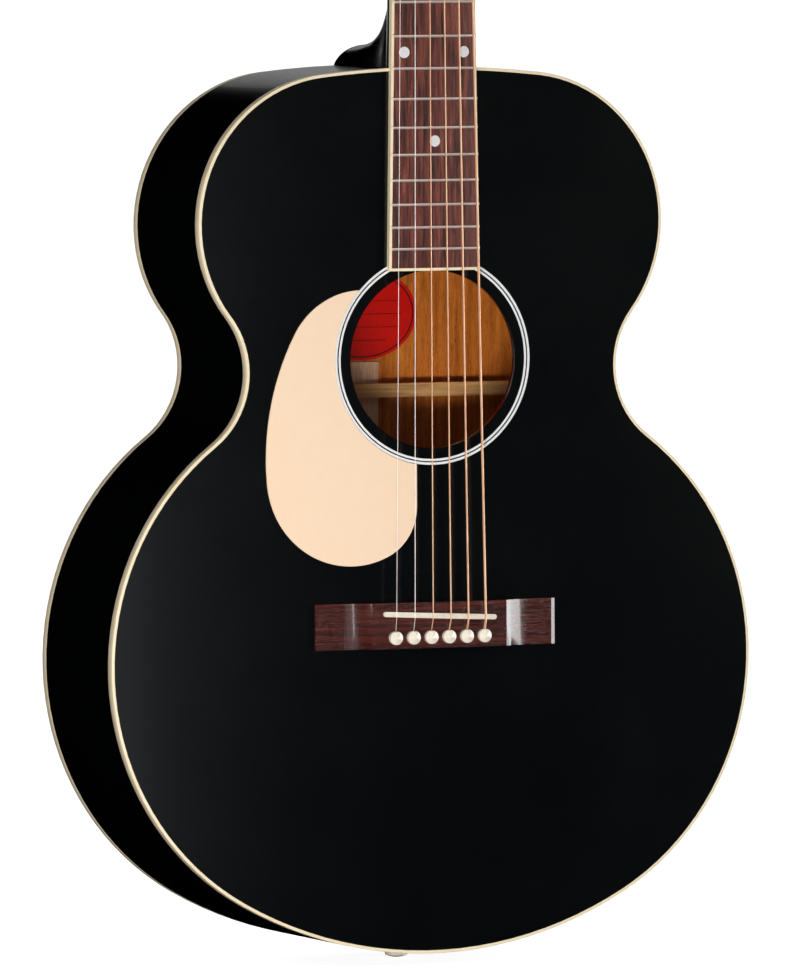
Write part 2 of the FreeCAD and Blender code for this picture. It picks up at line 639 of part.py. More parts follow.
def bar(name, place, length, width, height, turn=0):
    """A small brace with sloping ends, glued under the soundboard."""
    end = "(%s) / 2" % length
    corners = [("-" + end, "0"), (end, "0"), (end, "bar_tip"), (end + " - bar_slope", height),
               ("-" + end + " + bar_slope", height), ("-" + end, "bar_tip")]
    body = padded(name, "XY_Plane", corners, width, midplane=True)
    body.Placement = FreeCAD.Placement(Vector(), FreeCAD.Rotation(Vector(0, 1, 0), turn))
    return at(body, place[0], "top_thickness", place[1])


def make_top_braces():
    """Transverse brace, tone bars, finger braces and the plate under the bridge."""
    subpart("upper_brace", group("UpperBraceSet", [
        bar("UpperBrace", ("0", "hole_height + upper_brace_offset"), "2 * upper_half - 24",
            "upper_brace_width", "upper_brace_height")]))
    subpart("tone_bars", group("ToneBars", [
        bar("ToneBar%d" % index, (x, z), length, "tone_bar_width", height, turn)
        for index, (x, z, length, height, turn) in enumerate(TONE_BARS)]))
    subpart("finger_braces", group("FingerBraces", [
        bar("Finger%d%s" % (index, tag), (str(side * x), str(z)), str(length), "finger_width",
            "finger_height", side * turn)
        for tag, side in (("L", -1), ("R", 1))
        for index, (x, z, length, turn) in enumerate(FINGER_BRACES)]))
    plate = padded("BridgePlateBlank", "XZ_Plane", [
        ("-plate_top_half", "plate_top"), ("-plate_bottom_half", "plate_bottom"),
        ("plate_bottom_half", "plate_bottom"), ("plate_top_half", "plate_top")],
        "plate_thickness", reverse=True)
    at(plate, "0", "top_thickness", "0")
    subpart("bridge_plate", cut("BridgePlate", plate, keyholes))


# ---------------------------------------------------------------- back
# heights of the back braces, from the neck to the tail
BACK_BRACES = ["238", "123.5", "-12", "-112"]


def make_back():
    """Domed back plate, four braces, the centre strip between them and the label."""
    slab = outline_slab("BackSlab", "binding_width", "60", FULL_DEPTH)
    subpart("back_plate", cut("BackPlate", common("BackSlabInside", slab, back_outer), back_inner))
    braces = []
    room = outline_slab("BraceRoom", "side_thickness + lining_width + brace_gap", "60", FULL_DEPTH)
    for index, height in enumerate(BACK_BRACES):
        blank = box("BackBrace%d" % index, ("-lower_half", "60", height + " - back_brace_width / 2"),
                    ("2 * lower_half", FULL_DEPTH, "back_brace_width"))
        braces.append(common("BackBraceTrim%d" % index, blank, room))
    bars = common("BackBracesInside", group("BackBraceBlanks", braces), back_inner)
    subpart("back_braces", cut("BackBraces", bars, brace_floor))
    # the strip's stretches end at the braces, the blocks and the label
    above = ["%s + back_brace_width / 2" % height for height in BACK_BRACES]
    below = ["%s - back_brace_width / 2" % height for height in BACK_BRACES]
    stretches = [
        ("body_bottom + tail_block_length + 6", below[3]),
        (above[3], below[2]),
        (above[2], below[1]),
        (above[1], "label_height - label_half_height - strip_gap"),
        ("label_height + label_half_height + strip_gap", below[0]),
    ]
    pieces = [box("Strip%d" % index, ("-strip_width / 2", "60", low),
                  ("strip_width", FULL_DEPTH, "%s - (%s)" % (high, low)))
              for index, (low, high) in enumerate(stretches)]
    strips = common("StripsInside", group("StripBlanks", pieces), back_inner)
    subpart("back_strip", cut("BackStrip", strips, strip_floor))
    label = doc.addObject("Part::Ellipse", "LabelOval")
    label.Placement = FreeCAD.Placement(Vector(), FreeCAD.Rotation(Vector(1, 0, 0), -90))
    bind(label, MajorRadius="label_half_width", MinorRadius="label_half_height")
    at(label, "0", "60", "label_height")
    column = doc.addObject("Part::Extrusion", "LabelColumn")
    column.Base = label
    column.DirMode = "Custom"
    column.Dir = Vector(0, 1, 0)
    column.Solid = True
    bind(column, LengthFwd=FULL_DEPTH)
    subpart("label", cut("Label", common("LabelInside", column, back_inner), label_floor))


# ---------------------------------------------------------------- bridge
def make_bridge():
    """Rosewood bridge with scooped wings, its saddle and six string pins."""
    scoop = "-((scoop_end - block_half) ^ 2 + (bridge_thickness - wing_thickness) ^ 2)" \
            " / (2 * (bridge_thickness - wing_thickness))"
    corners = [
        ("-bridge_half", "0"), ("-bridge_half", "bridge_end_drop - wing_thickness"),
        ("-bridge_half + bridge_end_width", "-wing_thickness"),
        ("-scoop_end", "-wing_thickness", scoop), ("-block_half", "-bridge_thickness"),
        ("block_half", "-bridge_thickness", scoop), ("scoop_end", "-wing_thickness"),
        ("bridge_half - bridge_end_width", "-wing_thickness"),
        ("bridge_half", "bridge_end_drop - wing_thickness"), ("bridge_half", "0"),
    ]
    blank = padded("BridgeBlank", "XY_Plane", corners, "bridge_top - bridge_bottom")
    at(blank, "0", "0", "bridge_bottom")

    def saddle_block(name, floor, height):
        """An upright strip with round ends that starts at floor over the soundboard."""
        low = "-(%s) - (%s)" % (floor, height)
        reach = "(saddle_length - saddle_width) / 2"
        pieces = [box(name, ("-" + reach, low, "-saddle_width / 2"),
                      ("2 * " + reach, height, "saddle_width"))]
        pieces += [rod(name + tag, (sign + reach, low, "0"), "y", "saddle_width / 2", height)
                   for tag, sign in (("Left", "-"), ("Right", ""))]
        holder = group(name + "Turned", [fuse(name + "Strip", pieces)])
        holder.Placement = FreeCAD.Placement(Vector(), FreeCAD.Rotation(Vector(0, 1, 0), 0))
        return bind(holder, Placement__Rotation__Angle="saddle_slant",
                    Placement__Base__z="saddle_middle")

    floor = "bridge_thickness - saddle_slot_depth"
    slot = saddle_block("SaddleSlot", floor, "saddle_slot_depth + 1")
    subpart("bridge", cut("Bridge", blank, group("BridgeTools", [slot, keyholes])))
    bone = saddle_block("SaddleBone", floor, "saddle_crest")
    crown = rod("SaddleCrown", ("0", "board_radius - saddle_crest", "-60"), "z", "board_radius", "120")
    subpart("saddle", common("Saddle", bone, crown))

    # one pin, whose axis is the sketch's vertical axis and whose tip points into the body
    rim = "-bridge_thickness"
    pin = turned("PinTurned", "XY_Plane", [
        ("0", "pin_length - bridge_thickness"), ("pin_tip_radius", "pin_length - bridge_thickness"),
        ("pin_shank_radius", rim), ("pin_head_radius", rim),
        ("pin_head_radius", rim + " - pin_rim", "-pin_bend"), ("0", rim + " - pin_rise")][::-1])
    groove = box("PinGroove", ("-pin_groove_width / 2", rim + " - pin_rim - 0.2", "pin_groove_start"),
                 ("pin_groove_width", "pin_length + 4", "4"))
    grooved = cut("PinGrooved", pin, groove)
    doc.recompute()
    pins = [grooved.Shape.translated(Vector(value(x), 0, value("pin_line"))) for x in STRING_X]
    subpart("bridge_pins", shaped("BridgePins", Part.Compound(pins)))


# ---------------------------------------------------------------- neck
def board_prism(name, edge, low, high):
    """The fingerboard's tapered plan, moved in by edge, from height low to high."""
    half = "(nut_width / 2 + taper * (scale_length - (%s)) - (%s))"
    corners = [("-" + half % (low, edge), low), (half % (low, edge), low),
               (half % (high, edge), high), ("-" + half % (high, edge), high)]
    return padded(name, "XZ_Plane", corners, "board_thickness + 1")


def fret_height(number):
    """A fret's distance from the saddle line, in equal temperament."""
    return "scale_length / 2 ^ (%d / 12)" % number


def fret_wire(number):
    """A fret: a rounded crown on a tang, bent to the fingerboard's radius."""
    height = value(fret_height(number))
    half = value("nut_width / 2 + taper * (scale_length - %f) - fret_overlap" % height)
    radius = value("board_radius")
    crown, rise = value("crown_width / 2"), value("crown_height")
    tang, depth = value("slot_width / 2"), value("tang_depth")
    centre_y = value("board_axis")
    surface = centre_y - radius

    def point(along, above):
        return Vector(0, surface - above, height + along)

    dome_edge = Part.Arc(point(crown, 0), point(0, rise), point(-crown, 0)).toShape()
    turns = [point(-crown, 0), point(-tang, 0), point(-tang, -depth), point(tang, -depth),
             point(tang, 0), point(crown, 0)]
    lines = [Part.makeLine(turns[index], turns[index + 1]) for index in range(len(turns) - 1)]
    section = Part.Face(Part.Wire([dome_edge] + lines))
    angle = math.degrees(math.asin(half / radius))
    axis_point, axis = Vector(0, centre_y, height), Vector(0, 0, 1)
    section.rotate(axis_point, axis, -angle)
    return section.revolve(axis_point, axis, 2 * angle)


DOTTED_FRETS = [3, 5, 7, 9, 12, 15]


def between_frets(number):
    """Half way between a fret and the one before it."""
    return "(%s + %s) / 2" % (fret_height(number), fret_height(number - 1))


def make_fingerboard():
    """Bound rosewood fingerboard with slotted frets and pearl position marks."""
    whole = board_prism("BoardWhole", "0", "board_end", "scale_length")
    barrel = rod("BoardBarrel", ("0", "board_axis", "board_end - 10"), "z", "board_radius",
                 "scale_length - board_end + 20")
    core = board_prism("BoardCore", "board_binding", "board_end + board_end_binding",
                       "scale_length + 5")
    board = common("BoardBlank", whole, barrel)
    slots = group("FretSlots", [
        box("FretSlot%d" % number,
            ("-40", "-board_thickness - 1", fret_height(number) + " - slot_width / 2"),
            ("80", "1 + slot_depth", "slot_width"))
        for number in range(1, int(value("fret_count")) + 1)])
    dots, pits, marks = [], [], []
    for number in DOTTED_FRETS:
        height = between_frets(number)
        for index, x in enumerate(("-dot_spread", "dot_spread") if number == 12 else ("0",)):
            name = "%d_%d" % (number, index)
            pits.append(rod("DotPit" + name, (x, "-board_thickness - 1", height), "y",
                            "dot_radius", "dot_depth + 1"))
            dots.append(rod("Dot" + name, (x, "-board_thickness - 1", height), "y",
                            "dot_radius", "dot_depth + 1"))
        side = "nut_width / 2 + taper * (scale_length - (%s)) - side_dot_depth" % height
        for index, shift in enumerate(("-side_dot_pair", "side_dot_pair") if number == 12 else ("0",)):
            marks.append(rod("SideMark%d_%d" % (number, index),
                             (side, "-side_dot_drop", "%s + (%s)" % (height, shift)), "x",
                             "side_dot_radius", "2 * side_dot_depth"))
    tools = group("BoardTools", [slots, group("DotPits", pits)])
    subpart("fingerboard", cut("Fingerboard", common("BoardWood", board, core), tools))
    edge = cut("BoardEdge", board, core)
    mark_rods = group("SideMarkRods", marks)
    subpart("fingerboard_binding", cut("FingerboardBinding", edge, mark_rods))
    subpart("position_dots", common("PositionDots", group("DotRods", dots), barrel))
    subpart("side_dots", common("SideDots", group("SideDotRods", marks), board))
    frets = [fret_wire(number) for number in range(1, int(value("fret_count")) + 1)]
    subpart("frets", shaped("Frets", Part.Compound(frets)))


def string_at_nut(index):
    """A string's axis over the nut: its place across, and its height over the soundboard."""
    x = value("nut_string_half") * (index - 2.5) / 2.5
    floor = value("nut_slot_floor") - x * x / (2 * value("board_radius"))
    return x, -(floor + STRING_GAUGES[index] / 2)


def string_at_saddle(index):
    """A string's axis over the saddle."""
    x = value(STRING_X[index])
    crest = value("saddle_crest") - x * x / (2 * value("board_radius"))
    rear_edge = value("saddle_middle - saddle_width / 2 - rear_gap")
    height = rear_edge - x * math.tan(math.radians(value("saddle_slant")))
    return x, -(crest + STRING_GAUGES[index] / 2 + value("string_gap")), height


def make_nut():
    """Bone nut with a slot for each string."""
    blank = box("NutBlank", ("-nut_width / 2", "-nut_height", "scale_length"),
                ("nut_width", "nut_height", "nut_length"))
    crown = rod("NutCrown", ("0", "board_radius - nut_height", "scale_length - 1"), "z",
                "board_radius", "nut_length + 2")
    curved = common("NutCurved", blank, crown)
    cutters = []
    front = value("scale_length")
    for index, gauge in enumerate(STRING_GAUGES):
        x_nut, y_nut = string_at_nut(index)
        x_saddle, y_saddle, z_saddle = string_at_saddle(index)
        along = Vector(x_nut - x_saddle, y_nut - y_saddle, front - z_saddle).normalize()
        start = Vector(x_nut, y_nut, front) - along
        radius = gauge / 2 + value("string_gap")
        round_cut = Part.makeCylinder(radius, value("nut_length") + 3, start, along)
        above = Part.makeBox(2 * radius, 4, value("nut_length") + 3)
        above.translate(Vector(x_nut - radius, y_nut - 4, front - 1))
        cutters += [round_cut, above]
    tool = shaped("NutSlots", Part.Compound(cutters))
    subpart("nut", cut("Nut", curved, tool))


ARCH_STEPS = 14
# how far down from the fingerboard the heel's sections are, how far each reaches up the neck from
# its root inside the body, and how wide half of it is
HEEL_SECTIONS = [
    (10, 84, 26.0), (18, 65, 25.0), (26, 50, 24.0), (34, 39, 23.3), (44, 30.5, 22.6),
    (56, 24, 22.0), (72, 19.4, 21.7), (88, 17.2, 21.6), (100, 16.6, 21.6),
]


def arch(half, depth, station, upright):
    """A closed half-oval across the neck at a height, or across the heel at a depth."""
    points = []
    root = value("body_top - heel_root")
    for step in range(ARCH_STEPS + 1):
        angle = math.pi * step / ARCH_STEPS
        across = -half * math.cos(angle)
        away = depth * math.sin(angle)
        points.append(Vector(across, away, station) if upright else
                      Vector(across, station, root + away))
    curve = Part.BSplineCurve()
    curve.interpolate(points)
    return Part.Wire([curve.toShape(), Part.makeLine(points[-1], points[0])])


def make_neck():
    """Mahogany neck, carved with its heel, and the headstock on its end."""
    def half(height):
        return value("nut_width / 2 + taper * (scale_length - %f)" % height)

    thin, thick, scale = value("neck_thin"), value("neck_thick"), value("scale_length")
    shaft_sections = [(value("body_top - heel_root"), thick + 6), (345, thick + 1),
                      (375, thick - 1.5), (430, thick - 3), (520, thin + 1.2), (scale, thin),
                      (value("head_start"), thin)]
    shaft = Part.makeLoft([arch(half(min(height, scale)), depth, height, True)
                           for height, depth in shaft_sections], True, False)
    heel = Part.makeLoft([arch(width, reach, level, False)
                          for level, reach, width in HEEL_SECTIONS], True, False)
    carved = shaped("NeckCarved", shaft.fuse(heel))
    # the headstock's outline widens from the neck to a softly arched top
    slab = padded("HeadSlab", "XY_Plane", head_outline(), "head_thickness", reverse=True)
    veneer_room = padded("VeneerRoom", "XY_Plane", head_outline(), "veneer_thickness", reverse=True)
    at(slab, "0", "0", "-veneer_thickness")
    head = to_body(group("HeadSlabSet", [slab]))
    blank = fuse("NeckBlank", [carved, head])
    body_room = outline_slab("NeckRoom", "0", "-20", "200")
    contoured = cut("NeckContoured", blank, body_room)
    tongue = common("Tongue", dovetail, outline_slab("TongueRoom", "0", "-1", "200"))
    joined = fuse("NeckJoined", [contoured, tongue])
    cap_low, cap_size = "body_top - 40", ("2 * nut_width", "60", "160")
    cap_room = box("CapRoom", ("-nut_width", "depth_neck - heel_cap_thickness", cap_low), cap_size)
    cap_end = box("CapEnd", ("-nut_width", "depth_neck", cap_low), cap_size)
    channel = box("RodChannel", ("-rod_width / 2", "-1", "rod_bottom - 1"),
                  ("rod_width", "rod_depth + 1", "head_start - rod_bottom + 2"))
    tools = group("NeckTools", [cap_room, channel, rod_pocket(), to_body(tuner_holes("Neck")),
                               to_body(group("VeneerRoomSet", [veneer_room]))])
    subpart("neck", cut("Neck", joined, tools))
    cap_blank = common("HeelCapBlank", contoured, cap_room)
    subpart("heel_cap", cut("HeelCap", cap_blank, cap_end))
    veneer = padded("VeneerBlank", "XY_Plane", head_outline(), "veneer_thickness", reverse=True)
    pocket = box("VeneerPocket", ("-pocket_half", "-1", "-veneer_thickness - 1"),
                 ("2 * pocket_half", "pocket_length + 1", "veneer_thickness + 2"))
    holes = group("VeneerTools", [pocket, tuner_holes("Veneer")])
    subpart("headstock_veneer", cut("HeadstockVeneer", veneer, holes), in_head=True)


def head_outline():
    """The headstock's outline in the head frame."""
    return [
        ("-head_neck_half", "0"), ("head_neck_half", "0", "-head_hollow"),
        ("head_shoulder_half", "head_shoulder"),
        ("head_top_half", "head_length - head_corner", "head_corner"),
        ("head_top_half - head_corner", "head_length", "crown_radius"),
        ("-head_top_half + head_corner", "head_length", "head_corner"),
        ("-head_top_half", "head_length - head_corner"),
        ("-head_shoulder_half", "head_shoulder", "-head_hollow"),
    ]


def rod_pocket():
    """The pocket behind the nut that gives a key access to the truss rod."""
    pocket = box("HeadPocket", ("-pocket_half", "-2", "-pocket_depth"),
                 ("2 * pocket_half", "pocket_length + 2", "pocket_depth + 2"))
    return to_body(group("HeadPocketSet", [pocket]))


def make_truss_rod():
    """Channel-type truss rod, its socket nut, and the cover with three screws."""
    channel = box("RodChannelBar", ("-rod_width / 2 + rod_side_gap", "rod_top_gap", "rod_bottom"),
                  ("rod_width - 2 * rod_side_gap", "rod_depth - rod_top_gap - rod_bottom_gap",
                   "scale_length - rod_bottom"))
    tip = rod("RodTip", ("0", "rod_axis", "scale_length - 1"), "z", "rod_tip_radius",
              "nut_length + rod_nut_length - 1")
    subpart("truss_rod", fuse("TrussRod", [channel, tip]))
    start = "head_start + rod_nut_gap"
    blank = rod("RodNutBlank", ("0", "rod_axis", start), "z", "rod_nut_radius", "rod_nut_length")
    bore = rod("RodNutBore", ("0", "rod_axis", "scale_length"), "z", "rod_tip_radius + rod_bore_gap",
               "nut_length + rod_nut_gap + rod_nut_length - rod_nut_floor")
    socket = doc.addObject("Part::Prism", "RodNutSocket")
    socket.Polygon = 6
    bind(socket, Circumradius="key_radius", Height="key_depth + 1")
    at(socket, "0", "rod_axis", "%s + rod_nut_length - key_depth" % start)
    subpart("truss_rod_nut", cut("TrussRodNut", blank, group("RodNutTools", [bore, socket])))
    cover = padded("CoverBlank", "XY_Plane", [
        ("-cover_half", "cover_start"), ("cover_half", "cover_start"),
        ("cover_half", "cover_length / 2", "cover_bend"),
        ("cover_tip_half", "cover_length", "cover_tip_bend"),
        ("-cover_tip_half", "cover_length", "cover_bend"), ("-cover_half", "cover_length / 2")],
        "cover_thickness")
    places = [("-cover_half + cover_hole_inset", "cover_hole_low"),
              ("cover_half - cover_hole_inset", "cover_hole_low"),
              ("0", "cover_length - cover_hole_low")]
    holes = group("CoverHoles", [
        rod("CoverHole%d" % index, (x, y, "-1"), "z", "cover_hole_radius", "cover_thickness + 2")
        for index, (x, y) in enumerate(places)])
    subpart("truss_rod_cover", cut("TrussRodCover", cover, holes), in_head=True)
    screws = []
    for index, (x, y) in enumerate(places):
        shank = rod("CoverShank%d" % index, (x, y, "0"), "z", "cover_screw_radius",
                    "cover_thickness + cover_head_height / 2")
        head = cone("CoverHead%d" % index, (x, y, "cover_thickness"), "z", "cover_head_low",
                    "cover_head_high", "cover_head_height")
        screws.append(fuse("CoverScrew%d" % index, [shank, head]))
    subpart("cover_screws", group("CoverScrews", screws), in_head=True)


# ---------------------------------------------------------------- tuners
def post_place(index):
    """A post's place in the head frame: strings 1 to 3 on the left, 4 to 6 on the right."""
    row = index if index < 3 else 5 - index
    side = -1 if index < 3 else 1
    x = "%d * (post_inset + %d * post_spread)" % (side, row)
    return side, x, "post_first + %d * post_step" % row


def tuner_holes(name):
    """Bushing and screw holes through the headstock, in the head frame."""
    holes = []
    for index in range(6):
        _, x, y = post_place(index)
        holes.append(rod("%sPostHole%d" % (name, index), (x, y, "-40"), "z", "bushing_radius", "60"))
        if name == "Neck":
            holes.append(rod("%sScrewHole%d" % (name, index),
                             (x, y + " - housing_low - lug_hole_offset", "-40"), "z",
                             "pilot_radius", "34"))
    return group(name + "Holes", holes)


def head_back(depth):
    """A depth below the headstock's back face, in the head frame."""
    return "-veneer_thickness - head_thickness - (%s)" % depth


def gear_shape(x, y, low, high):
    """A toothed worm wheel about a post."""
    teeth = int(value("gear_teeth"))
    tip, root = value("gear_radius"), value("gear_root")
    points = []
    for tooth in range(teeth):
        for part, radius in ((-0.34, root), (-0.16, tip), (0.16, tip), (0.34, root)):
            angle = 2 * math.pi * (tooth + part) / teeth
            points.append(Vector(x + radius * math.cos(angle), y + radius * math.sin(angle), low))
    face = Part.Face(Part.makePolygon(points + points[:1]))
    return face.extrude(Vector(0, 0, high - low))


def button_blank(name, side):
    """A kidney-shaped grip with rounded edges; its stem end is at its own origin."""
    out = "%d * 2 * button_half_length" % side
    hollow, bulge = "%d * button_bend" % side, "%d * button_bend" % -side
    corners = [("0", "-button_stem"), ("0", "button_stem", hollow),
               (out, "button_half_width", bulge), (out, "-button_half_width", hollow)]
    body = doc.addObject("PartDesign::Body", name)
    sketch = profile(body_sketch(body, name + "Sketch", "XY_Plane"), corners)
    blank = pad(body, sketch, "2 * button_half_thickness", midplane=True)
    rounding = body.newObject("PartDesign::Fillet", name + "Fillet")
    rounding.Base = (blank, [""])
    rounding.UseAllEdges = True
    bind(rounding, Radius="button_rounding")
    return body


def make_tuner(index):
    """One machine head: housing, bushing and screw, post with its gear, and worm with button."""
    side, x, y = post_place(index)
    tag = str(index + 1)
    worm_y = "%s + worm_offset" % y
    worm_z = head_back("worm_depth")
    # housing: gear room and worm chamber inside a box with a screw lug
    shell = box("HousingBox" + tag, (x + " - housing_half", y + " - housing_low",
                                     head_back("housing_depth")),
                ("2 * housing_half", "housing_low + housing_high", "housing_depth"))
    lug = box("HousingLug" + tag, (x + " - lug_half", y + " - housing_low - lug_length",
                                   head_back("lug_thickness")),
              ("2 * lug_half", "lug_length + 1", "lug_thickness"))
    room = rod("GearRoom" + tag, (x, y, head_back("worm_depth + gear_room_half")), "z",
               "gear_room", "2 * gear_room_half")
    bore = rod("PostBore" + tag, (x, y, head_back("housing_depth - housing_floor")), "z",
               "post_radius + running_gap", "housing_depth")
    chamber = rod("WormRoom" + tag, (x + " - chamber_half", worm_y, worm_z), "x",
                  "chamber_radius", "2 * chamber_half")
    outer_wall = "%s + chamber_half - 1" % x if side > 0 else "%s - housing_half - 1" % x
    bearing = rod("WormBore" + tag, (outer_wall, worm_y, worm_z), "x",
                  "shaft_radius + running_gap", "housing_half - chamber_half + 2")
    lug_hole_y = y + " - housing_low - lug_hole_offset"
    screw_hole = rod("LugHole" + tag, (x, lug_hole_y, head_back("lug_thickness + 1")), "z",
                     "lug_hole_radius", "lug_thickness + 2")
    housing = cut("Housing" + tag, fuse("HousingBlank" + tag, [shell, lug]),
                  group("HousingTools" + tag, [room, bore, chamber, bearing, screw_hole]))
    # bushing
    tube = rod("BushingTube" + tag, (x, y, "-bushing_depth"), "z", "bushing_radius", "bushing_depth")
    flange = rod("BushingFlange" + tag, (x, y, "0"), "z", "flange_radius", "flange_height")
    eye = rod("BushingEye" + tag, (x, y, "-20"), "z", "post_radius + running_gap", "30")
    bushing = cut("Bushing" + tag, fuse("BushingBlank" + tag, [tube, flange]), eye)
    # screw
    shank = rod("TunerShank" + tag, (x, lug_hole_y, head_back("lug_thickness")), "z",
                "lug_screw_radius", "lug_screw_length")
    head = cone("TunerHead" + tag, (x, lug_hole_y, head_back("lug_thickness + lug_head_height")), "z",
                "lug_head_low", "lug_head_high", "lug_head_height")
    screw = fuse("TunerScrew" + tag, [shank, head])
    # post with gear and the string's wraps
    low = value(head_back("housing_depth - post_floor"))
    top = value("post_top")
    centre_x, centre_y = value(x), value(y)
    radius = value("post_radius")
    post = Part.makeCylinder(radius, top - low, Vector(centre_x, centre_y, low))
    post = post.fuse(gear_shape(centre_x, centre_y,
                                value(head_back("worm_depth + gear_thickness / 2")),
                                value(head_back("worm_depth - gear_thickness / 2"))))
    eyelet_start = Vector(centre_x - 2 * radius, centre_y, value("wrap_height + 3 * eyelet_radius"))
    eyelet = Part.makeCylinder(value("eyelet_radius"), 4 * radius, eyelet_start, Vector(1, 0, 0))
    post = post.cut(eyelet)
    gauge = STRING_GAUGES[index]
    pitch = gauge + value("wrap_gap")
    wraps = [Part.makeTorus(radius + gauge / 2 + value("string_gap"), gauge / 2,
                            Vector(centre_x, centre_y, value("wrap_height") - turn * pitch))
             for turn in range(3)]
    subpart("tuner_post_" + tag, shaped("TunerPost" + tag, Part.Compound([post] + wraps)), in_head=True)
    # worm shaft and button
    reach = "head_top_half + button_reach - abs(%s)" % x
    start = x + " - worm_half" if side > 0 else "%s - (%s)" % (x, reach)
    shaft = rod("WormShaft" + tag, (start, worm_y, worm_z), "x", "shaft_radius",
                "worm_half + (%s)" % reach)
    worm = rod("Worm" + tag, (x + " - worm_half", worm_y, worm_z), "x", "worm_radius", "2 * worm_half")
    button = button_blank("ButtonBlank" + tag, side)
    at(button, "%d * (head_top_half + button_reach - 1)" % side, worm_y, worm_z)
    subpart("tuner_button_" + tag, fuse("TunerButton" + tag, [shaft, worm, button]), in_head=True)
    return housing, bushing, screw


def make_tuners():
    """Six machine heads, three on each side."""
    housings, bushings, screws = zip(*[make_tuner(index) for index in range(6)])
    subpart("tuner_housings", group("TunerHousings", list(housings)), in_head=True)
    subpart("tuner_bushings", group("TunerBushings", list(bushings)), in_head=True)
    subpart("tuner_screws", group("TunerScrews", list(screws)), in_head=True)


# ---------------------------------------------------------------- strings
def rounded_path(points, radii):
    """Straight runs through points, joined by tangent arcs of the given radii."""
    edges = []
    start = points[0]
    for index in range(1, len(points) - 1):
        corner = points[index]
        before = (points[index - 1] - corner).normalize()
        after = (points[index + 1] - corner).normalize()
        turn = math.pi - before.getAngle(after)
        reach = radii[index - 1] * math.tan(turn / 2)
        first, last = corner + before * reach, corner + after * reach
        inward = (before + after).normalize()
        middle = corner + inward * (math.hypot(radii[index - 1], reach) - radii[index - 1])
        edges.append(Part.makeLine(start, first))
        edges.append(Part.Arc(first, middle, last).toShape())
        start = last
    edges.append(Part.makeLine(start, points[-1]))
    return Part.Wire(edges)


def head_point(x, along, out):
    """A point of the head frame, in the body frame."""
    tilt = math.radians(value("head_angle"))
    return Vector(x, along * math.sin(tilt) - out * math.cos(tilt),
                  value("head_start") + along * math.cos(tilt) + out * math.sin(tilt))


def make_string(index):
    """A string from its ball end, over saddle and nut, to its post."""
    gauge = STRING_GAUGES[index]
    x, crest, crest_z = string_at_saddle(index)
    x_nut, y_nut = string_at_nut(index)
    drop_z = value("pin_line + string_drop")
    ball_y = value("top_thickness + plate_thickness + ball_radius + ball_gap")
    along = Vector(x_nut - x, y_nut - crest, value("scale_length") - crest_z)
    behind_nut = value("nut_length + behind_nut")
    nut_end = Vector(x_nut, y_nut, value("scale_length")) + along * (behind_nut / along.z)
    side, post_x, post_y = post_place(index)
    inner = value(post_x) - side * (value("post_radius") + gauge / 2 + value("string_clearance") + gauge)
    end = head_point(inner, value(post_y), value("wrap_height") - gauge)
    points = [Vector(x, ball_y, drop_z),
              Vector(x, -value("bridge_thickness + string_rise"), drop_z),
              Vector(x, crest, crest_z), nut_end, end]
    path = rounded_path(points, [value("bend_at_pin"), value("bend_at_saddle"),
                                 value("bend_at_nut")])
    tangent = (points[1] - points[0]).normalize()
    rim = Part.Wire(Part.makeCircle(gauge / 2, points[0], tangent))
    wire = path.makePipeShell([rim], True, True)
    ball_length = value("ball_length")
    ball_start = Vector(x - ball_length / 2, ball_y, value("pin_line + ball_offset"))
    ball = Part.makeCylinder(value("ball_radius"), ball_length, ball_start, Vector(1, 0, 0))
    subpart("string_%d" % (index + 1), shaped("String%d" % (index + 1), wire.fuse(ball)))


# ---------------------------------------------------------------- strap button
def make_end_pin():
    """The strap button at the tail; the origin is inside its head's round wall."""
    wall = "button_wall / 2"
    shoulder = "saddle_height + body_bottom"
    bulge = "(button_head_radius ^ 2 + button_dome ^ 2) / (2 * button_dome)"
    pin = turned("EndPin", "XZ_Plane", [
        ("0", "-%s - button_dome" % wall, bulge), ("button_head_radius", "-" + wall),
        ("button_head_radius", wall), ("button_waist_radius", wall + " + button_flare"),
        ("button_waist_radius", shoulder), ("button_shank", shoulder),
        ("button_shank - button_shank_taper", "%s + button_shank_length" % shoulder),
        ("0", "%s + button_shank_length" % shoulder)])
    pin.Label = "end_pin"
    SUBPARTS.append(pin)


make_sides()
make_bindings()
make_blocks()
make_linings()
make_soundboard()
make_pickguard()
make_x_brace()
make_top_braces()
make_back()
make_bridge()
make_fingerboard()
make_nut()
make_neck()
make_truss_rod()
make_tuners()
for string_index in range(6):
    make_string(string_index)
make_end_pin()

# ---------------------------------------------------------------- checks and export
doc.recompute()
faults = ["%s: %s" % (thing.Name, thing.State) for thing in doc.Objects
          if "Invalid" in thing.State or "Error" in thing.State]
for thing in SUBPARTS:
    if thing.Shape.isNull() or not thing.Shape.isValid() or not thing.Shape.Solids:
        faults.append("%s: shape" % thing.Label)
if faults:
    raise RuntimeError("; ".join(faults))
for thing in SUBPARTS:
    thing.Shape.exportStep("parts/%s.step" % thing.Label)
print("%d sub-parts" % len(SUBPARTS))
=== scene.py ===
"""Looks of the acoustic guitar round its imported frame: finishes, fine meshes, studio and camera."""
import json
import math

import bmesh
import bpy
from mathutils import Matrix, Vector


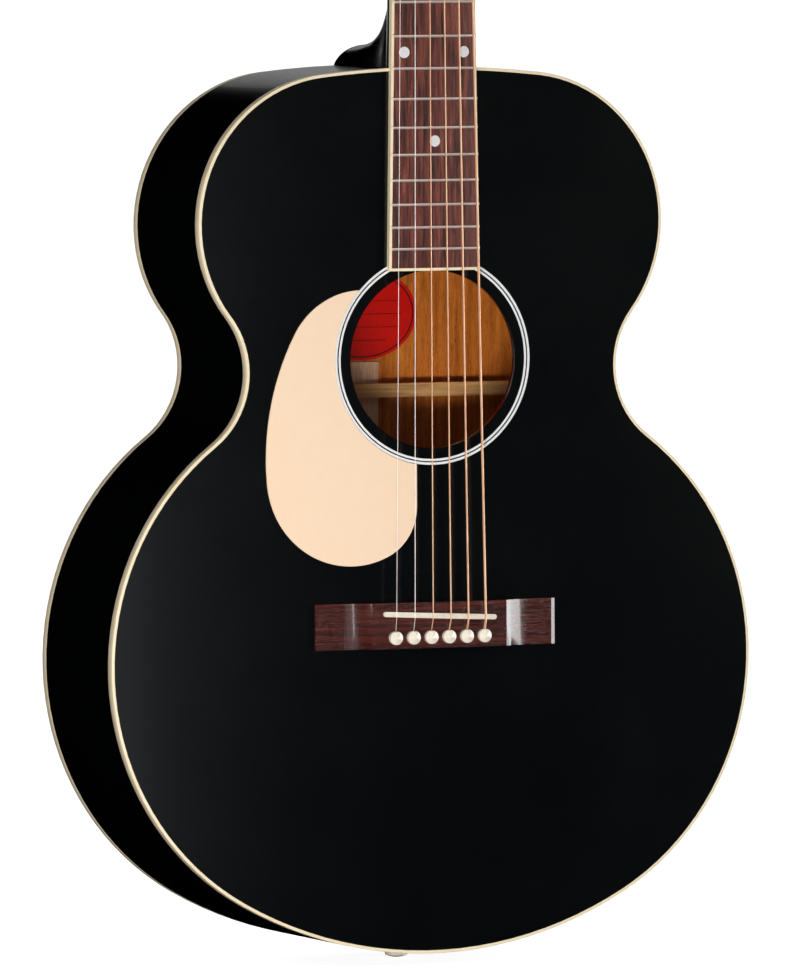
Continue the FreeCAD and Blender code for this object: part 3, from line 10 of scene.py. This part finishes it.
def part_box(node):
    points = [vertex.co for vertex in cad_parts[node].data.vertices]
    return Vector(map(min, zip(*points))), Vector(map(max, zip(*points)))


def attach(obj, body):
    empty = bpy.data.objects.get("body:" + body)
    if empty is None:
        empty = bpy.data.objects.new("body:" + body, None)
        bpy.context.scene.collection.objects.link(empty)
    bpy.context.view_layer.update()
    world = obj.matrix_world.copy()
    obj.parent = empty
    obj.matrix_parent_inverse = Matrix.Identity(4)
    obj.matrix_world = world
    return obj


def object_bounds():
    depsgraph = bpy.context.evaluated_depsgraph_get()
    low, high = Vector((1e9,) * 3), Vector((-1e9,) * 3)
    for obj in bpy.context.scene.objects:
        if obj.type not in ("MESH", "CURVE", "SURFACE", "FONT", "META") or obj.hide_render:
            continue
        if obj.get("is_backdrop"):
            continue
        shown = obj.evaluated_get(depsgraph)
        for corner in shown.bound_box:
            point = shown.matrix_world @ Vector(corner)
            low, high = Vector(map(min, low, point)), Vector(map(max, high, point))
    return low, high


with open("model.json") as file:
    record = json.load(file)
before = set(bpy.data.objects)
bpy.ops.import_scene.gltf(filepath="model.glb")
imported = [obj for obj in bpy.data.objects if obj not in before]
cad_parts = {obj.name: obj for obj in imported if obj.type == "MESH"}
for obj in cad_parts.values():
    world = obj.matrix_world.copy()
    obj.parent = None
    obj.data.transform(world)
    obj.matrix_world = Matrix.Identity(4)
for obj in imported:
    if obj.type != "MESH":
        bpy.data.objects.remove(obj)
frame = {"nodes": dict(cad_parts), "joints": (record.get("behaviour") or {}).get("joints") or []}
NODES = frame["nodes"]
CAD_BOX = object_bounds()
MM = 0.001

# ---------------------------------------------------------------- places read from the frame
def middle(name):
    """The middle of a node's box."""
    low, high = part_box(name)
    return (low + high) / 2


BODY_MIDDLE = middle("soundboard")
HOLE = middle("rosette")


# ---------------------------------------------------------------- shader helpers
def shader(name, **sockets):
    """A new material, its node tree and its main shader, with the uniform sockets set."""
    made = bpy.data.materials.new(name)
    made.use_nodes = True
    surface = made.node_tree.nodes["Principled BSDF"]
    for socket, setting in sockets.items():
        surface.inputs[socket.replace("_", " ")].default_value = setting
    return made, made.node_tree, surface


def node(tree, kind, inputs=None, **settings):
    """A node with its settings; an input is a number, a colour or another node's output."""
    made = tree.nodes.new("ShaderNode" + kind)
    for name, setting in settings.items():
        setattr(made, name, setting)
    for name, source in (inputs or {}).items():
        if isinstance(source, bpy.types.NodeSocket):
            tree.links.new(source, made.inputs[name])
        else:
            made.inputs[name].default_value = source
    return made


def spot(tree, scale=(1, 1, 1)):
    """The piece's own coordinates in metres, scaled axis by axis."""
    own = node(tree, "TexCoord").outputs["Object"]
    return node(tree, "Mapping", {"Vector": own, "Scale": scale}).outputs[0]


def noise(tree, vector, scale, detail=3.0, rough=0.5, warp=0.0):
    """Soft random values round one half."""
    inputs = {"Vector": vector, "Scale": scale, "Detail": detail, "Roughness": rough,
              "Distortion": warp}
    return node(tree, "TexNoise", inputs).outputs["Fac"]


def ramp(tree, factor, *stops):
    """Colours between stops, each a position and a colour or a grey."""
    made = node(tree, "ValToRGB", {"Fac": factor})
    while len(made.color_ramp.elements) < len(stops):
        made.color_ramp.elements.new(1.0)
    for element, (position, colour) in zip(made.color_ramp.elements, stops):
        element.position = position
        element.color = (*colour, 1) if isinstance(colour, tuple) else (colour,) * 3 + (1,)
    return made.outputs["Color"]


def blend(tree, factor, first, second, kind="MIX"):
    """Two colours mixed."""
    made = node(tree, "Mix", data_type="RGBA", blend_type=kind)
    for index, source in ((0, factor), (6, first), (7, second)):
        if isinstance(source, bpy.types.NodeSocket):
            tree.links.new(source, made.inputs[index])
        else:
            made.inputs[index].default_value = (*source, 1) if isinstance(source, tuple) else source
    return made.outputs[2]


def calc(tree, operation, first, second=0.0, third=None):
    """Arithmetic on two or three values."""
    inputs = {0: first, 1: second}
    if third is not None:
        inputs[2] = third
    return node(tree, "Math", inputs, operation=operation).outputs[0]


def bump(tree, surface, height, depth, strength=1.0):
    """Relief of a given depth in metres on a surface."""
    inputs = {"Height": height, "Distance": depth, "Strength": strength}
    relief = node(tree, "Bump", inputs).outputs[0]
    tree.links.new(relief, surface.inputs["Normal"])


# how the grain's pattern is scaled along x, y and z, so that it runs along one axis
GRAIN_STRETCH = {"x": (0.03, 1, 1), "bridge": (0.03, 0.08, 1), "z": (1, 1, 0.03)}


# ---------------------------------------------------------------- finishes
def lacquer():
    """Black satin-gloss lacquer over wood, with the grain just telling through."""
    made, tree, surface = shader("black_lacquer", Base_Color=(0.0009, 0.0013, 0.0016, 1),
                                 Coat_Weight=0.25, Coat_Roughness=0.08, IOR=1.47)
    grain = noise(tree, spot(tree, GRAIN_STRETCH["z"]), 900, 4)
    haze = noise(tree, spot(tree), 14, 2)
    scuff = noise(tree, spot(tree, (1, 1, 0.4)), 260, 3)
    level = calc(tree, "MULTIPLY_ADD", haze, 0.06, 0.15)
    rough = calc(tree, "MULTIPLY_ADD", scuff, 0.04, level)
    tree.links.new(rough, surface.inputs["Roughness"])
    bump(tree, surface, grain, 0.02 * MM, 0.35)
    return made


def plastic(name, colour, rough, mottle=0.04, scale=300, **sockets):
    """Cast plastic: nearly even colour, faint mottling and a soft polish."""
    made, tree, surface = shader(name, Roughness=rough, **sockets)
    cloud = noise(tree, spot(tree), scale, 3)
    darker = tuple(c * (1 - mottle * 3) for c in colour)
    tree.links.new(ramp(tree, cloud, (0.3, darker), (0.62, colour)), surface.inputs["Base Color"])
    bump(tree, surface, noise(tree, spot(tree), scale * 6, 2), 0.01 * MM, 0.3)
    return made


def binding():
    """Cream binding with the faint stripes of sheet stock."""
    made, tree, surface = shader("cream_binding", Roughness=0.3, Coat_Weight=0.4,
                                 Coat_Roughness=0.12, Subsurface_Weight=0.1,
                                 Subsurface_Radius=(0.004, 0.003, 0.002))
    stripes = noise(tree, spot(tree, (0.3, 6, 0.3)), 260, 2)
    tone = ramp(tree, stripes, (0.25, (0.88, 0.71, 0.46)), (0.6, (0.95, 0.81, 0.57)))
    tree.links.new(tone, surface.inputs["Base Color"])
    bump(tree, surface, noise(tree, spot(tree), 700, 2), 0.01 * MM, 0.3)
    return made


def wood(name, axis, dark, middle, pale, scale, rough, pore=0.0, warp=0.6, **sockets):
    """Wood whose grain runs along an axis, with streaks, fine fibres and open pores."""
    made, tree, surface = shader(name, **sockets)
    along = GRAIN_STRETCH[axis]

    def drawn(factor):
        """The grain's coordinates with its length drawn out by a factor."""
        return spot(tree, tuple(part * factor if part < 1 else part for part in along))

    streaks = noise(tree, drawn(1), scale, 4, 0.6, warp)
    fibres = noise(tree, drawn(0.6), scale * 9, 3, 0.7)
    tone = ramp(tree, streaks, (0.30, dark), (0.5, middle), (0.70, pale))
    fine = ramp(tree, fibres, (0.35, 0.55), (0.6, 1.0))
    colour = blend(tree, 0.55, tone, fine, "MULTIPLY")
    pores = noise(tree, drawn(1.5), scale * 14, 2, 0.6)
    pits = ramp(tree, pores, (0.30, 0.0), (0.42, 1.0))
    if pore:
        colour = blend(tree, pore, colour, pits, "MULTIPLY")
    tree.links.new(colour, surface.inputs["Base Color"])
    polish = ramp(tree, fibres, (0.3, min(rough + 0.12, 1.0)), (0.7, rough))
    tree.links.new(polish, surface.inputs["Roughness"])
    bump(tree, surface, pits, 0.05 * MM, 0.4 + pore)
    return made


def board_wood():
    """Rosewood for the fingerboard: dark ribbons up the neck that wander from fret to fret."""
    made, tree, surface = shader("rosewood_up", Specular_IOR_Level=0.25)
    ribbons = noise(tree, spot(tree, (1, 1, 0.06)), 380, 5, 0.68, 0.6)
    tone = ramp(tree, ribbons, (0.32, (0.020, 0.007, 0.006)), (0.45, (0.085, 0.022, 0.016)),
                (0.56, (0.19, 0.045, 0.030)), (0.70, (0.36, 0.105, 0.066)))
    fibres = noise(tree, spot(tree, (1, 1, 0.02)), 2600, 3, 0.7)
    fine = ramp(tree, fibres, (0.35, 0.45), (0.6, 1.0))
    colour = blend(tree, 0.6, tone, fine, "MULTIPLY")
    pores = noise(tree, spot(tree, (1, 1, 0.05)), 3600, 2, 0.6)
    pits = ramp(tree, pores, (0.34, 0.0), (0.44, 1.0))
    tree.links.new(blend(tree, 0.45, colour, pits, "MULTIPLY"), surface.inputs["Base Color"])
    tree.links.new(ramp(tree, fibres, (0.3, 0.5), (0.7, 0.36)), surface.inputs["Roughness"])
    bump(tree, surface, pits, 0.05 * MM, 0.6)
    return made


def metal(name, colour, rough, smear=0.08, scale=180, metallic=1.0, **sockets):
    """Metal with slight smears in its polish."""
    made, tree, surface = shader(name, Base_Color=(*colour, 1), Metallic=metallic, **sockets)
    clouds = noise(tree, spot(tree), scale, 4)
    tree.links.new(ramp(tree, clouds, (0.3, rough), (0.7, rough + smear)), surface.inputs["Roughness"])
    bump(tree, surface, noise(tree, spot(tree), scale * 12, 2), 0.005 * MM, 0.25)
    return made


# Blender's wave texture has one band every pi / 10 of its coordinates
WAVE_PERIOD = math.pi / 10


def wound(name, pitch):
    """Phosphor bronze wrap wire of a given pitch round a core, with painted shade in the grooves
    between its turns.
    """
    made, tree, surface = shader(name, Metallic=0.5, Roughness=0.32)
    turns = node(tree, "TexWave", {"Vector": spot(tree), "Scale": WAVE_PERIOD / pitch},
                 wave_type="BANDS", bands_direction="Z", wave_profile="SIN").outputs["Fac"]
    age = noise(tree, spot(tree, (1, 1, 0.3)), 90, 3)
    warm = ramp(tree, age, (0.3, (0.86, 0.47, 0.27)), (0.7, (0.97, 0.60, 0.38)))
    # painted shade: the bronze colour is darkened to 0.6 in the grooves between the turns
    painted_groove_shade = ramp(tree, turns, (0.0, 0.6), (0.3, 1.0))
    tree.links.new(blend(tree, 0.5, warm, painted_groove_shade, "MULTIPLY"), surface.inputs["Base Color"])
    bump(tree, surface, turns, pitch * 0.25, 0.5)
    return made


def pearl():
    """Mother of pearl with its drifting pinks and greens."""
    made, tree, surface = shader("pearl", Roughness=0.22, Coat_Weight=0.6, Coat_Roughness=0.06)
    drift = noise(tree, spot(tree, (1, 1, 0.5)), 420, 3, 0.6, 1.5)
    tone = ramp(tree, drift, (0.3, (0.58, 0.62, 0.66)), (0.45, (0.78, 0.80, 0.82)),
                (0.56, (0.86, 0.80, 0.82)), (0.7, (0.66, 0.74, 0.70)))
    tree.links.new(tone, surface.inputs["Base Color"])
    bump(tree, surface, drift, 0.02 * MM, 0.3)
    return made


# the label's ink, in parts of the label's half width and half height
RING_REACH, RING_HALF_WIDTH = 0.93, 0.012
RULED_REACH, RULED_ROWS, RULED_PART = 0.72, 3.5, 0.05


def label_paper():
    """Red label: a black oval inset line and generic ruled lines."""
    made, tree, surface = shader("label_paper", Roughness=0.75)
    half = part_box("label")[1] - middle("label")
    parts = node(tree, "SeparateXYZ", {"Vector": node(tree, "TexCoord").outputs["Object"]})
    across = calc(tree, "DIVIDE", parts.outputs["X"], half.x)
    up = calc(tree, "DIVIDE", calc(tree, "SUBTRACT", parts.outputs["Z"], middle("label").z), half.z)
    squares = calc(tree, "ADD", calc(tree, "MULTIPLY", across, across), calc(tree, "MULTIPLY", up, up))
    reach = calc(tree, "SQRT", squares)
    ring = calc(tree, "COMPARE", reach, RING_REACH, RING_HALF_WIDTH)
    row = calc(tree, "FRACT", calc(tree, "MULTIPLY", up, RULED_ROWS))
    ruled = calc(tree, "LESS_THAN", row, RULED_PART)
    inside = calc(tree, "LESS_THAN", reach, RULED_REACH)
    ink = calc(tree, "MAXIMUM", ring, calc(tree, "MULTIPLY", ruled, inside))
    fibre = noise(tree, spot(tree), 900, 3)
    paper = ramp(tree, fibre, (0.3, (0.55, 0.004, 0.002)), (0.7, (0.68, 0.008, 0.003)))
    tree.links.new(blend(tree, ink, paper, (0.02, 0.008, 0.006)), surface.inputs["Base Color"])
    bump(tree, surface, fibre, 0.02 * MM, 0.4)
    return made


BLACK = lacquer()
BINDING = binding()
MAHOGANY_UP = wood("mahogany_up", "z", (0.40, 0.11, 0.016), (0.64, 0.185, 0.026), (0.76, 0.25, 0.04),
                   260, 0.6, 0.6, 0.3, Specular_IOR_Level=0.15)
MAHOGANY_ROUND = wood("mahogany_round", "x", (0.24, 0.075, 0.016), (0.42, 0.13, 0.028),
                      (0.54, 0.19, 0.045), 230, 0.6, 0.4)
SPRUCE_UP = wood("spruce_up", "z", (0.62, 0.36, 0.20), (0.80, 0.49, 0.29), (0.86, 0.57, 0.36), 500,
                 0.55)
SPRUCE_ACROSS = wood("spruce_across", "x", (0.52, 0.25, 0.09), (0.74, 0.40, 0.15), (0.82, 0.50, 0.22),
                     400, 0.55, Specular_IOR_Level=0.15)
ROSEWOOD_UP = board_wood()
ROSEWOOD_ACROSS = wood("rosewood_across", "bridge", (0.014, 0.004, 0.003), (0.055, 0.011, 0.008),
                       (0.13, 0.026, 0.018), 420, 0.15, 0.25, 0.7, Coat_Weight=0.8,
                       Coat_Roughness=0.1)
CHROME = metal("tuner_chrome", (0.78, 0.77, 0.75), 0.08)
STEEL = metal("plain_steel", (0.97, 0.88, 0.84), 0.3, metallic=0.5)
WINDING_PITCH = {3: 0.16 * MM, 4: 0.24 * MM, 5: 0.34 * MM, 6: 0.44 * MM}

FINISHES = {
    BLACK: ["soundboard", "side_left", "side_right", "back_plate", "neck", "heel_cap",
            "headstock_veneer"],
    BINDING: ["top_binding", "back_binding", "fingerboard_binding"],
    plastic("rosette_white", (0.86, 0.86, 0.85), 0.3, 0.02): ["rosette"],
    plastic("pickguard_cream", (0.93, 0.69, 0.485), 0.42, 0.006, 120): ["pickguard"],
    plastic("bone", (0.84, 0.75, 0.60), 0.32, 0.05, Coat_Weight=0.3): ["nut", "saddle"],
    plastic("pin_cream", (0.88, 0.80, 0.66), 0.25, 0.02, Coat_Weight=0.4): ["bridge_pins", "end_pin"],
    plastic("marker_black", (0.01, 0.01, 0.01), 0.3): ["side_dots"],
    plastic("cover_black", (0.008, 0.008, 0.009), 0.22, 0.02, Coat_Weight=0.5): ["truss_rod_cover"],
    pearl(): ["position_dots"],
    ROSEWOOD_UP: ["fingerboard"],
    ROSEWOOD_ACROSS: ["bridge"],
    MAHOGANY_UP: ["neck_block", "tail_block"],
    MAHOGANY_ROUND: ["top_lining", "back_lining"],
    SPRUCE_UP: ["finger_braces", "back_strip"],
    SPRUCE_ACROSS: ["x_brace_a", "x_brace_b", "upper_brace", "tone_bars", "back_braces"],
    wood("maple_across", "x", (0.50, 0.34, 0.18), (0.66, 0.48, 0.28), (0.74, 0.57, 0.36), 260,
         0.5): ["bridge_plate"],
    metal("nickel", (0.74, 0.62, 0.57), 0.28, metallic=0.6): ["frets"],
    CHROME: ["tuner_housings", "tuner_bushings"]
            + ["tuner_%s_%d" % (kind, n) for kind in ("post", "button") for n in range(1, 7)],
    STEEL: ["string_1", "string_2"],
    label_paper(): ["label"],
    metal("rod_steel", (0.45, 0.44, 0.43), 0.4): ["truss_rod"],
    metal("rod_brass", (0.70, 0.52, 0.24), 0.3): ["truss_rod_nut"],
    metal("screw_steel", (0.70, 0.69, 0.68), 0.2): ["cover_screws", "tuner_screws"],
}
for finish, names in FINISHES.items():
    for name in names:
        NODES[name].data.materials.clear()
        NODES[name].data.materials.append(finish)
for number, pitch in WINDING_PITCH.items():
    NODES["string_%d" % number].data.materials.clear()
    NODES["string_%d" % number].data.materials.append(wound("bronze_winding_%d" % number, pitch))


def second_finish(name, finish, chosen):
    """A second finish on the faces of a node that a rule picks by centre and normal."""
    mesh = NODES[name].data
    mesh.materials.append(finish)
    for face in mesh.polygons:
        if chosen(face.center, face.normal):
            face.material_index = 1


def inward(centre, normal):
    """True on a wall face that looks into the sound box."""
    return normal.x * -centre.x + normal.z * (BODY_MIDDLE.z - centre.z) > 0


second_finish("soundboard", SPRUCE_UP, lambda c, n: n.y > 0.5)
second_finish("back_plate", MAHOGANY_UP, lambda c, n: n.y < -0.5)
for side in ("side_left", "side_right"):
    second_finish(side, MAHOGANY_ROUND, inward)


# a post's wraps lie outside its shaft and above the bushing that it turns in
SHAFT_RADIUS, BUSHING_TOP = 3.01 * MM, 1.7 * MM


def finish_wraps():
    """Each string's own finish on the turns that lie round its post."""
    for joint in frame["joints"]:
        if not joint["name"].startswith("post_"):
            continue
        number = joint["name"].split("_")[1]
        place, axis = Vector(joint["pos_m"]), Vector(joint["axis"])

        def on_wrap(centre, normal):
            """True on the turns of string above the bushing."""
            out = centre - place
            return out.cross(axis).length > SHAFT_RADIUS and out.dot(axis) > BUSHING_TOP

        wire = NODES["string_" + number].data.materials[0]
        second_finish("tuner_post_" + number, wire, on_wrap)


finish_wraps()


# ---------------------------------------------------------------- softened edges and fret nibs
WELD_DISTANCE, SHARP_ANGLE = 0.002 * MM, math.radians(30)
EDGE_WIDTHS = {"bridge": 0.7, "saddle": 0.6, "pickguard": 0.3, "top_binding": 0.5,
               "back_binding": 0.5, "nut": 0.25, "truss_rod_cover": 0.3, "tuner_housings": 0.5}


def soften(name, width):
    """Round a piece's sharp edges by a small width."""
    piece = NODES[name]
    weld = piece.modifiers.new("weld", "WELD")
    weld.merge_threshold = WELD_DISTANCE
    bevel = piece.modifiers.new("bevel", "BEVEL")
    bevel.width, bevel.segments = width, 3
    bevel.limit_method, bevel.angle_limit = "ANGLE", SHARP_ANGLE
    bevel.use_clamp_overlap = True
    bevel.harden_normals = True


for name, width in EDGE_WIDTHS.items():
    soften(name, width * MM)


NIB_WIDTH, NIB_LENGTH, NIB_RISE, NIB_ROUNDING = 1.5 * MM, 1.7 * MM, 0.95 * MM, 0.4 * MM
NIB_SINK = 0.05 * MM
FRET_GAP, FRET_END = 4 * MM, 0.5 * MM


def fret_ends():
    """The right end of every fret: its middle along the neck, its reach across and its top."""
    points = sorted((vertex.co for vertex in NODES["frets"].data.vertices), key=lambda co: co.z)
    frets = [[points[0]]]
    for point in points[1:]:
        if point.z - frets[-1][-1].z > FRET_GAP:
            frets.append([])
        frets[-1].append(point)
    for fret in frets:
        reach = max(point.x for point in fret)
        top = min(point.y for point in fret if point.x > reach - FRET_END)
        yield (fret[0].z + fret[-1].z) / 2, reach, top


def fret_nibs():
    """Rounded nubs of binding that stand at both ends of every fret."""
    shape = bmesh.new()
    for height, reach, top in fret_ends():
        for side in (-1, 1):
            place = (side * (reach + NIB_WIDTH / 2), top + NIB_RISE / 2 + NIB_SINK, height)
            made = bmesh.ops.create_cube(shape, size=1.0)["verts"]
            bmesh.ops.scale(shape, vec=(NIB_WIDTH, NIB_RISE, NIB_LENGTH), verts=made)
            bmesh.ops.translate(shape, vec=place, verts=made)
            rim = {edge for vert in made for edge in vert.link_edges}
            bmesh.ops.bevel(shape, geom=list(rim), offset=NIB_ROUNDING, segments=3, profile=0.5,
                            affect="EDGES")
    mesh = bpy.data.meshes.new("fret_nibs")
    shape.to_mesh(mesh)
    shape.free()
    for face in mesh.polygons:
        face.use_smooth = True
    nibs = bpy.data.objects.new("fret_nibs", mesh)
    bpy.context.scene.collection.objects.link(nibs)
    mesh.materials.append(BINDING)
    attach(nibs, "guitar")


fret_nibs()


# ---------------------------------------------------------------- studio and camera
WHITE, COOL = (1, 1, 1), (0.92, 0.98, 1.0)
WARM, PALE_WARM = (1.0, 0.94, 0.90), (1.0, 0.95, 0.92)


def softbox(name, place, target, size, power, lights=True, mirrored=True, tint=WHITE):
    """A soft rectangular light that faces a target, to light it, to be mirrored in it or both."""
    lamp = bpy.data.lights.new(name, "AREA")
    lamp.shape = "RECTANGLE"
    lamp.size, lamp.size_y, lamp.energy, lamp.color = *size, power, tint
    made = bpy.data.objects.new(name, lamp)
    made.location = place
    made.rotation_euler = (Vector(target) - Vector(place)).to_track_quat("-Z", "Y").to_euler()
    made.visible_camera = False
    made.visible_diffuse, made.visible_glossy = lights, mirrored
    bpy.context.scene.collection.objects.link(made)


FLOOR_HALF, FLOOR_GAP = 150, 0.5 * MM
CAMERA_WHITE, FILL = 1.0, 0.28


def make_floor():
    """A plain pale floor just under the object."""
    mesh = bpy.data.meshes.new("floor")
    shape = bmesh.new()
    bmesh.ops.create_grid(shape, x_segments=4, y_segments=4, size=FLOOR_HALF)
    shape.to_mesh(mesh)
    shape.free()
    floor = bpy.data.objects.new("floor", mesh)
    floor.location.z = CAD_BOX[0].z - FLOOR_GAP
    made, tree, surface = shader("pale_floor", Roughness=0.9, Emission_Color=(1, 1, 1, 1),
                                 Emission_Strength=0.9)
    speck = noise(tree, spot(tree), 30, 2)
    tree.links.new(ramp(tree, speck, (0.3, 0.88), (0.7, 0.9)), surface.inputs["Base Color"])
    mesh.materials.append(made)
    floor.visible_diffuse = floor.visible_glossy = False
    bpy.context.scene.collection.objects.link(floor)
    floor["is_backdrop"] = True


def make_world():
    """Even white surroundings, seen at full strength and lighting with part of it."""
    world = bpy.data.worlds.new("studio")
    world.use_nodes = True
    tree = world.node_tree
    tree.nodes.clear()
    white = node(tree, "Background", {"Color": (1, 1, 1, 1), "Strength": CAMERA_WHITE})
    fill = node(tree, "Background", {"Color": (1, 1, 1, 1), "Strength": FILL})
    both = node(tree, "MixShader", {0: node(tree, "LightPath").outputs["Is Camera Ray"]})
    tree.links.new(fill.outputs[0], both.inputs[1])
    tree.links.new(white.outputs[0], both.inputs[2])
    out = node(tree, "OutputWorld")
    tree.links.new(both.outputs[0], out.inputs["Surface"])
    world.cycles_visibility.glossy = False
    bpy.context.scene.world = world


CAMERA_PLACE = (-2.81284, -6.62472, 0.64801)
CAMERA_LEFT, CAMERA_DOWN, CAMERA_ROLL = 23.03, 2.97, -0.27
CAMERA_LENS, CAMERA_SENSOR = 458.8, 36.0


def make_camera():
    """A long lens from the left and a little above."""
    lens = bpy.data.cameras.new("camera")
    lens.lens, lens.sensor_width = CAMERA_LENS, CAMERA_SENSOR
    lens.clip_start, lens.clip_end = 0.1, 400
    camera = bpy.data.objects.new("camera", lens)
    turn = (Matrix.Rotation(math.radians(-CAMERA_LEFT), 4, "Z")
            @ Matrix.Rotation(math.radians(90 - CAMERA_DOWN), 4, "X")
            @ Matrix.Rotation(math.radians(CAMERA_ROLL), 4, "Z"))
    camera.matrix_world = Matrix.Translation(CAMERA_PLACE) @ turn
    bpy.context.scene.collection.objects.link(camera)
    bpy.context.scene.camera = camera


make_floor()
make_world()
make_camera()
# lights that don't show in the gloss
softbox("key_low_left", (-0.45, -1.0, 0.08), HOLE, (0.28, 0.14), 8.5, mirrored=False)
softbox("key_high_left", (-2.8, -1.9, 2.2), BODY_MIDDLE, (1.6, 1.2), 18, mirrored=False)
softbox("key_back", (1.6, 2.6, 1.9), BODY_MIDDLE, (1.6, 1.2), 12, mirrored=False)
# panels that show in the gloss and light nothing
softbox("board_glow", (0.0, -0.96, 0.30), (0.0, 0, 0.30), (0.36, 0.9), 0.65, lights=False, tint=COOL)
softbox("right_glow", (1.05, -0.96, 0.25), (1.05, 0, 0.25), (0.35, 0.7), 0.35, lights=False, tint=COOL)
softbox("wing_glow", (1.48, -0.66, 0.35), BODY_MIDDLE, (1.4, 1.2), 34, lights=False)
softbox("front_glow", (-0.10, -2.0, 0.5), BODY_MIDDLE, (0.16, 1.4), 3.5, lights=False)
softbox("fret_glow", (0.62, -1.45, 1.9), (0, 0, 0.55), (1.2, 0.8), 8, lights=False, tint=WARM)
softbox("wire_glow", (-1.9, -1.3, 0.7), BODY_MIDDLE, (0.5, 2.0), 12, lights=False, tint=PALE_WARM)
softbox("room_left", (-3.0, 0.2, 1.0), BODY_MIDDLE, (2.0, 2.4), 1.0, lights=False)
softbox("room_top", (0.0, 0.0, 3.2), BODY_MIDDLE, (2.4, 2.4), 3.0, lights=False)
softbox("back_glow", (1.0, 2.6, 0.95), BODY_MIDDLE, (0.9, 0.9), 0.8, lights=False)
softbox("back_room", (0.45, 2.4, 0.30), BODY_MIDDLE, (1.3, 0.55), 1.3, lights=False)
bpy.context.scene.view_settings.view_transform = "Standard"

boxes = {"cad": CAD_BOX, "visual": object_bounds()}
{k: [list(corner) for corner in pair] for k, pair in boxes.items()}
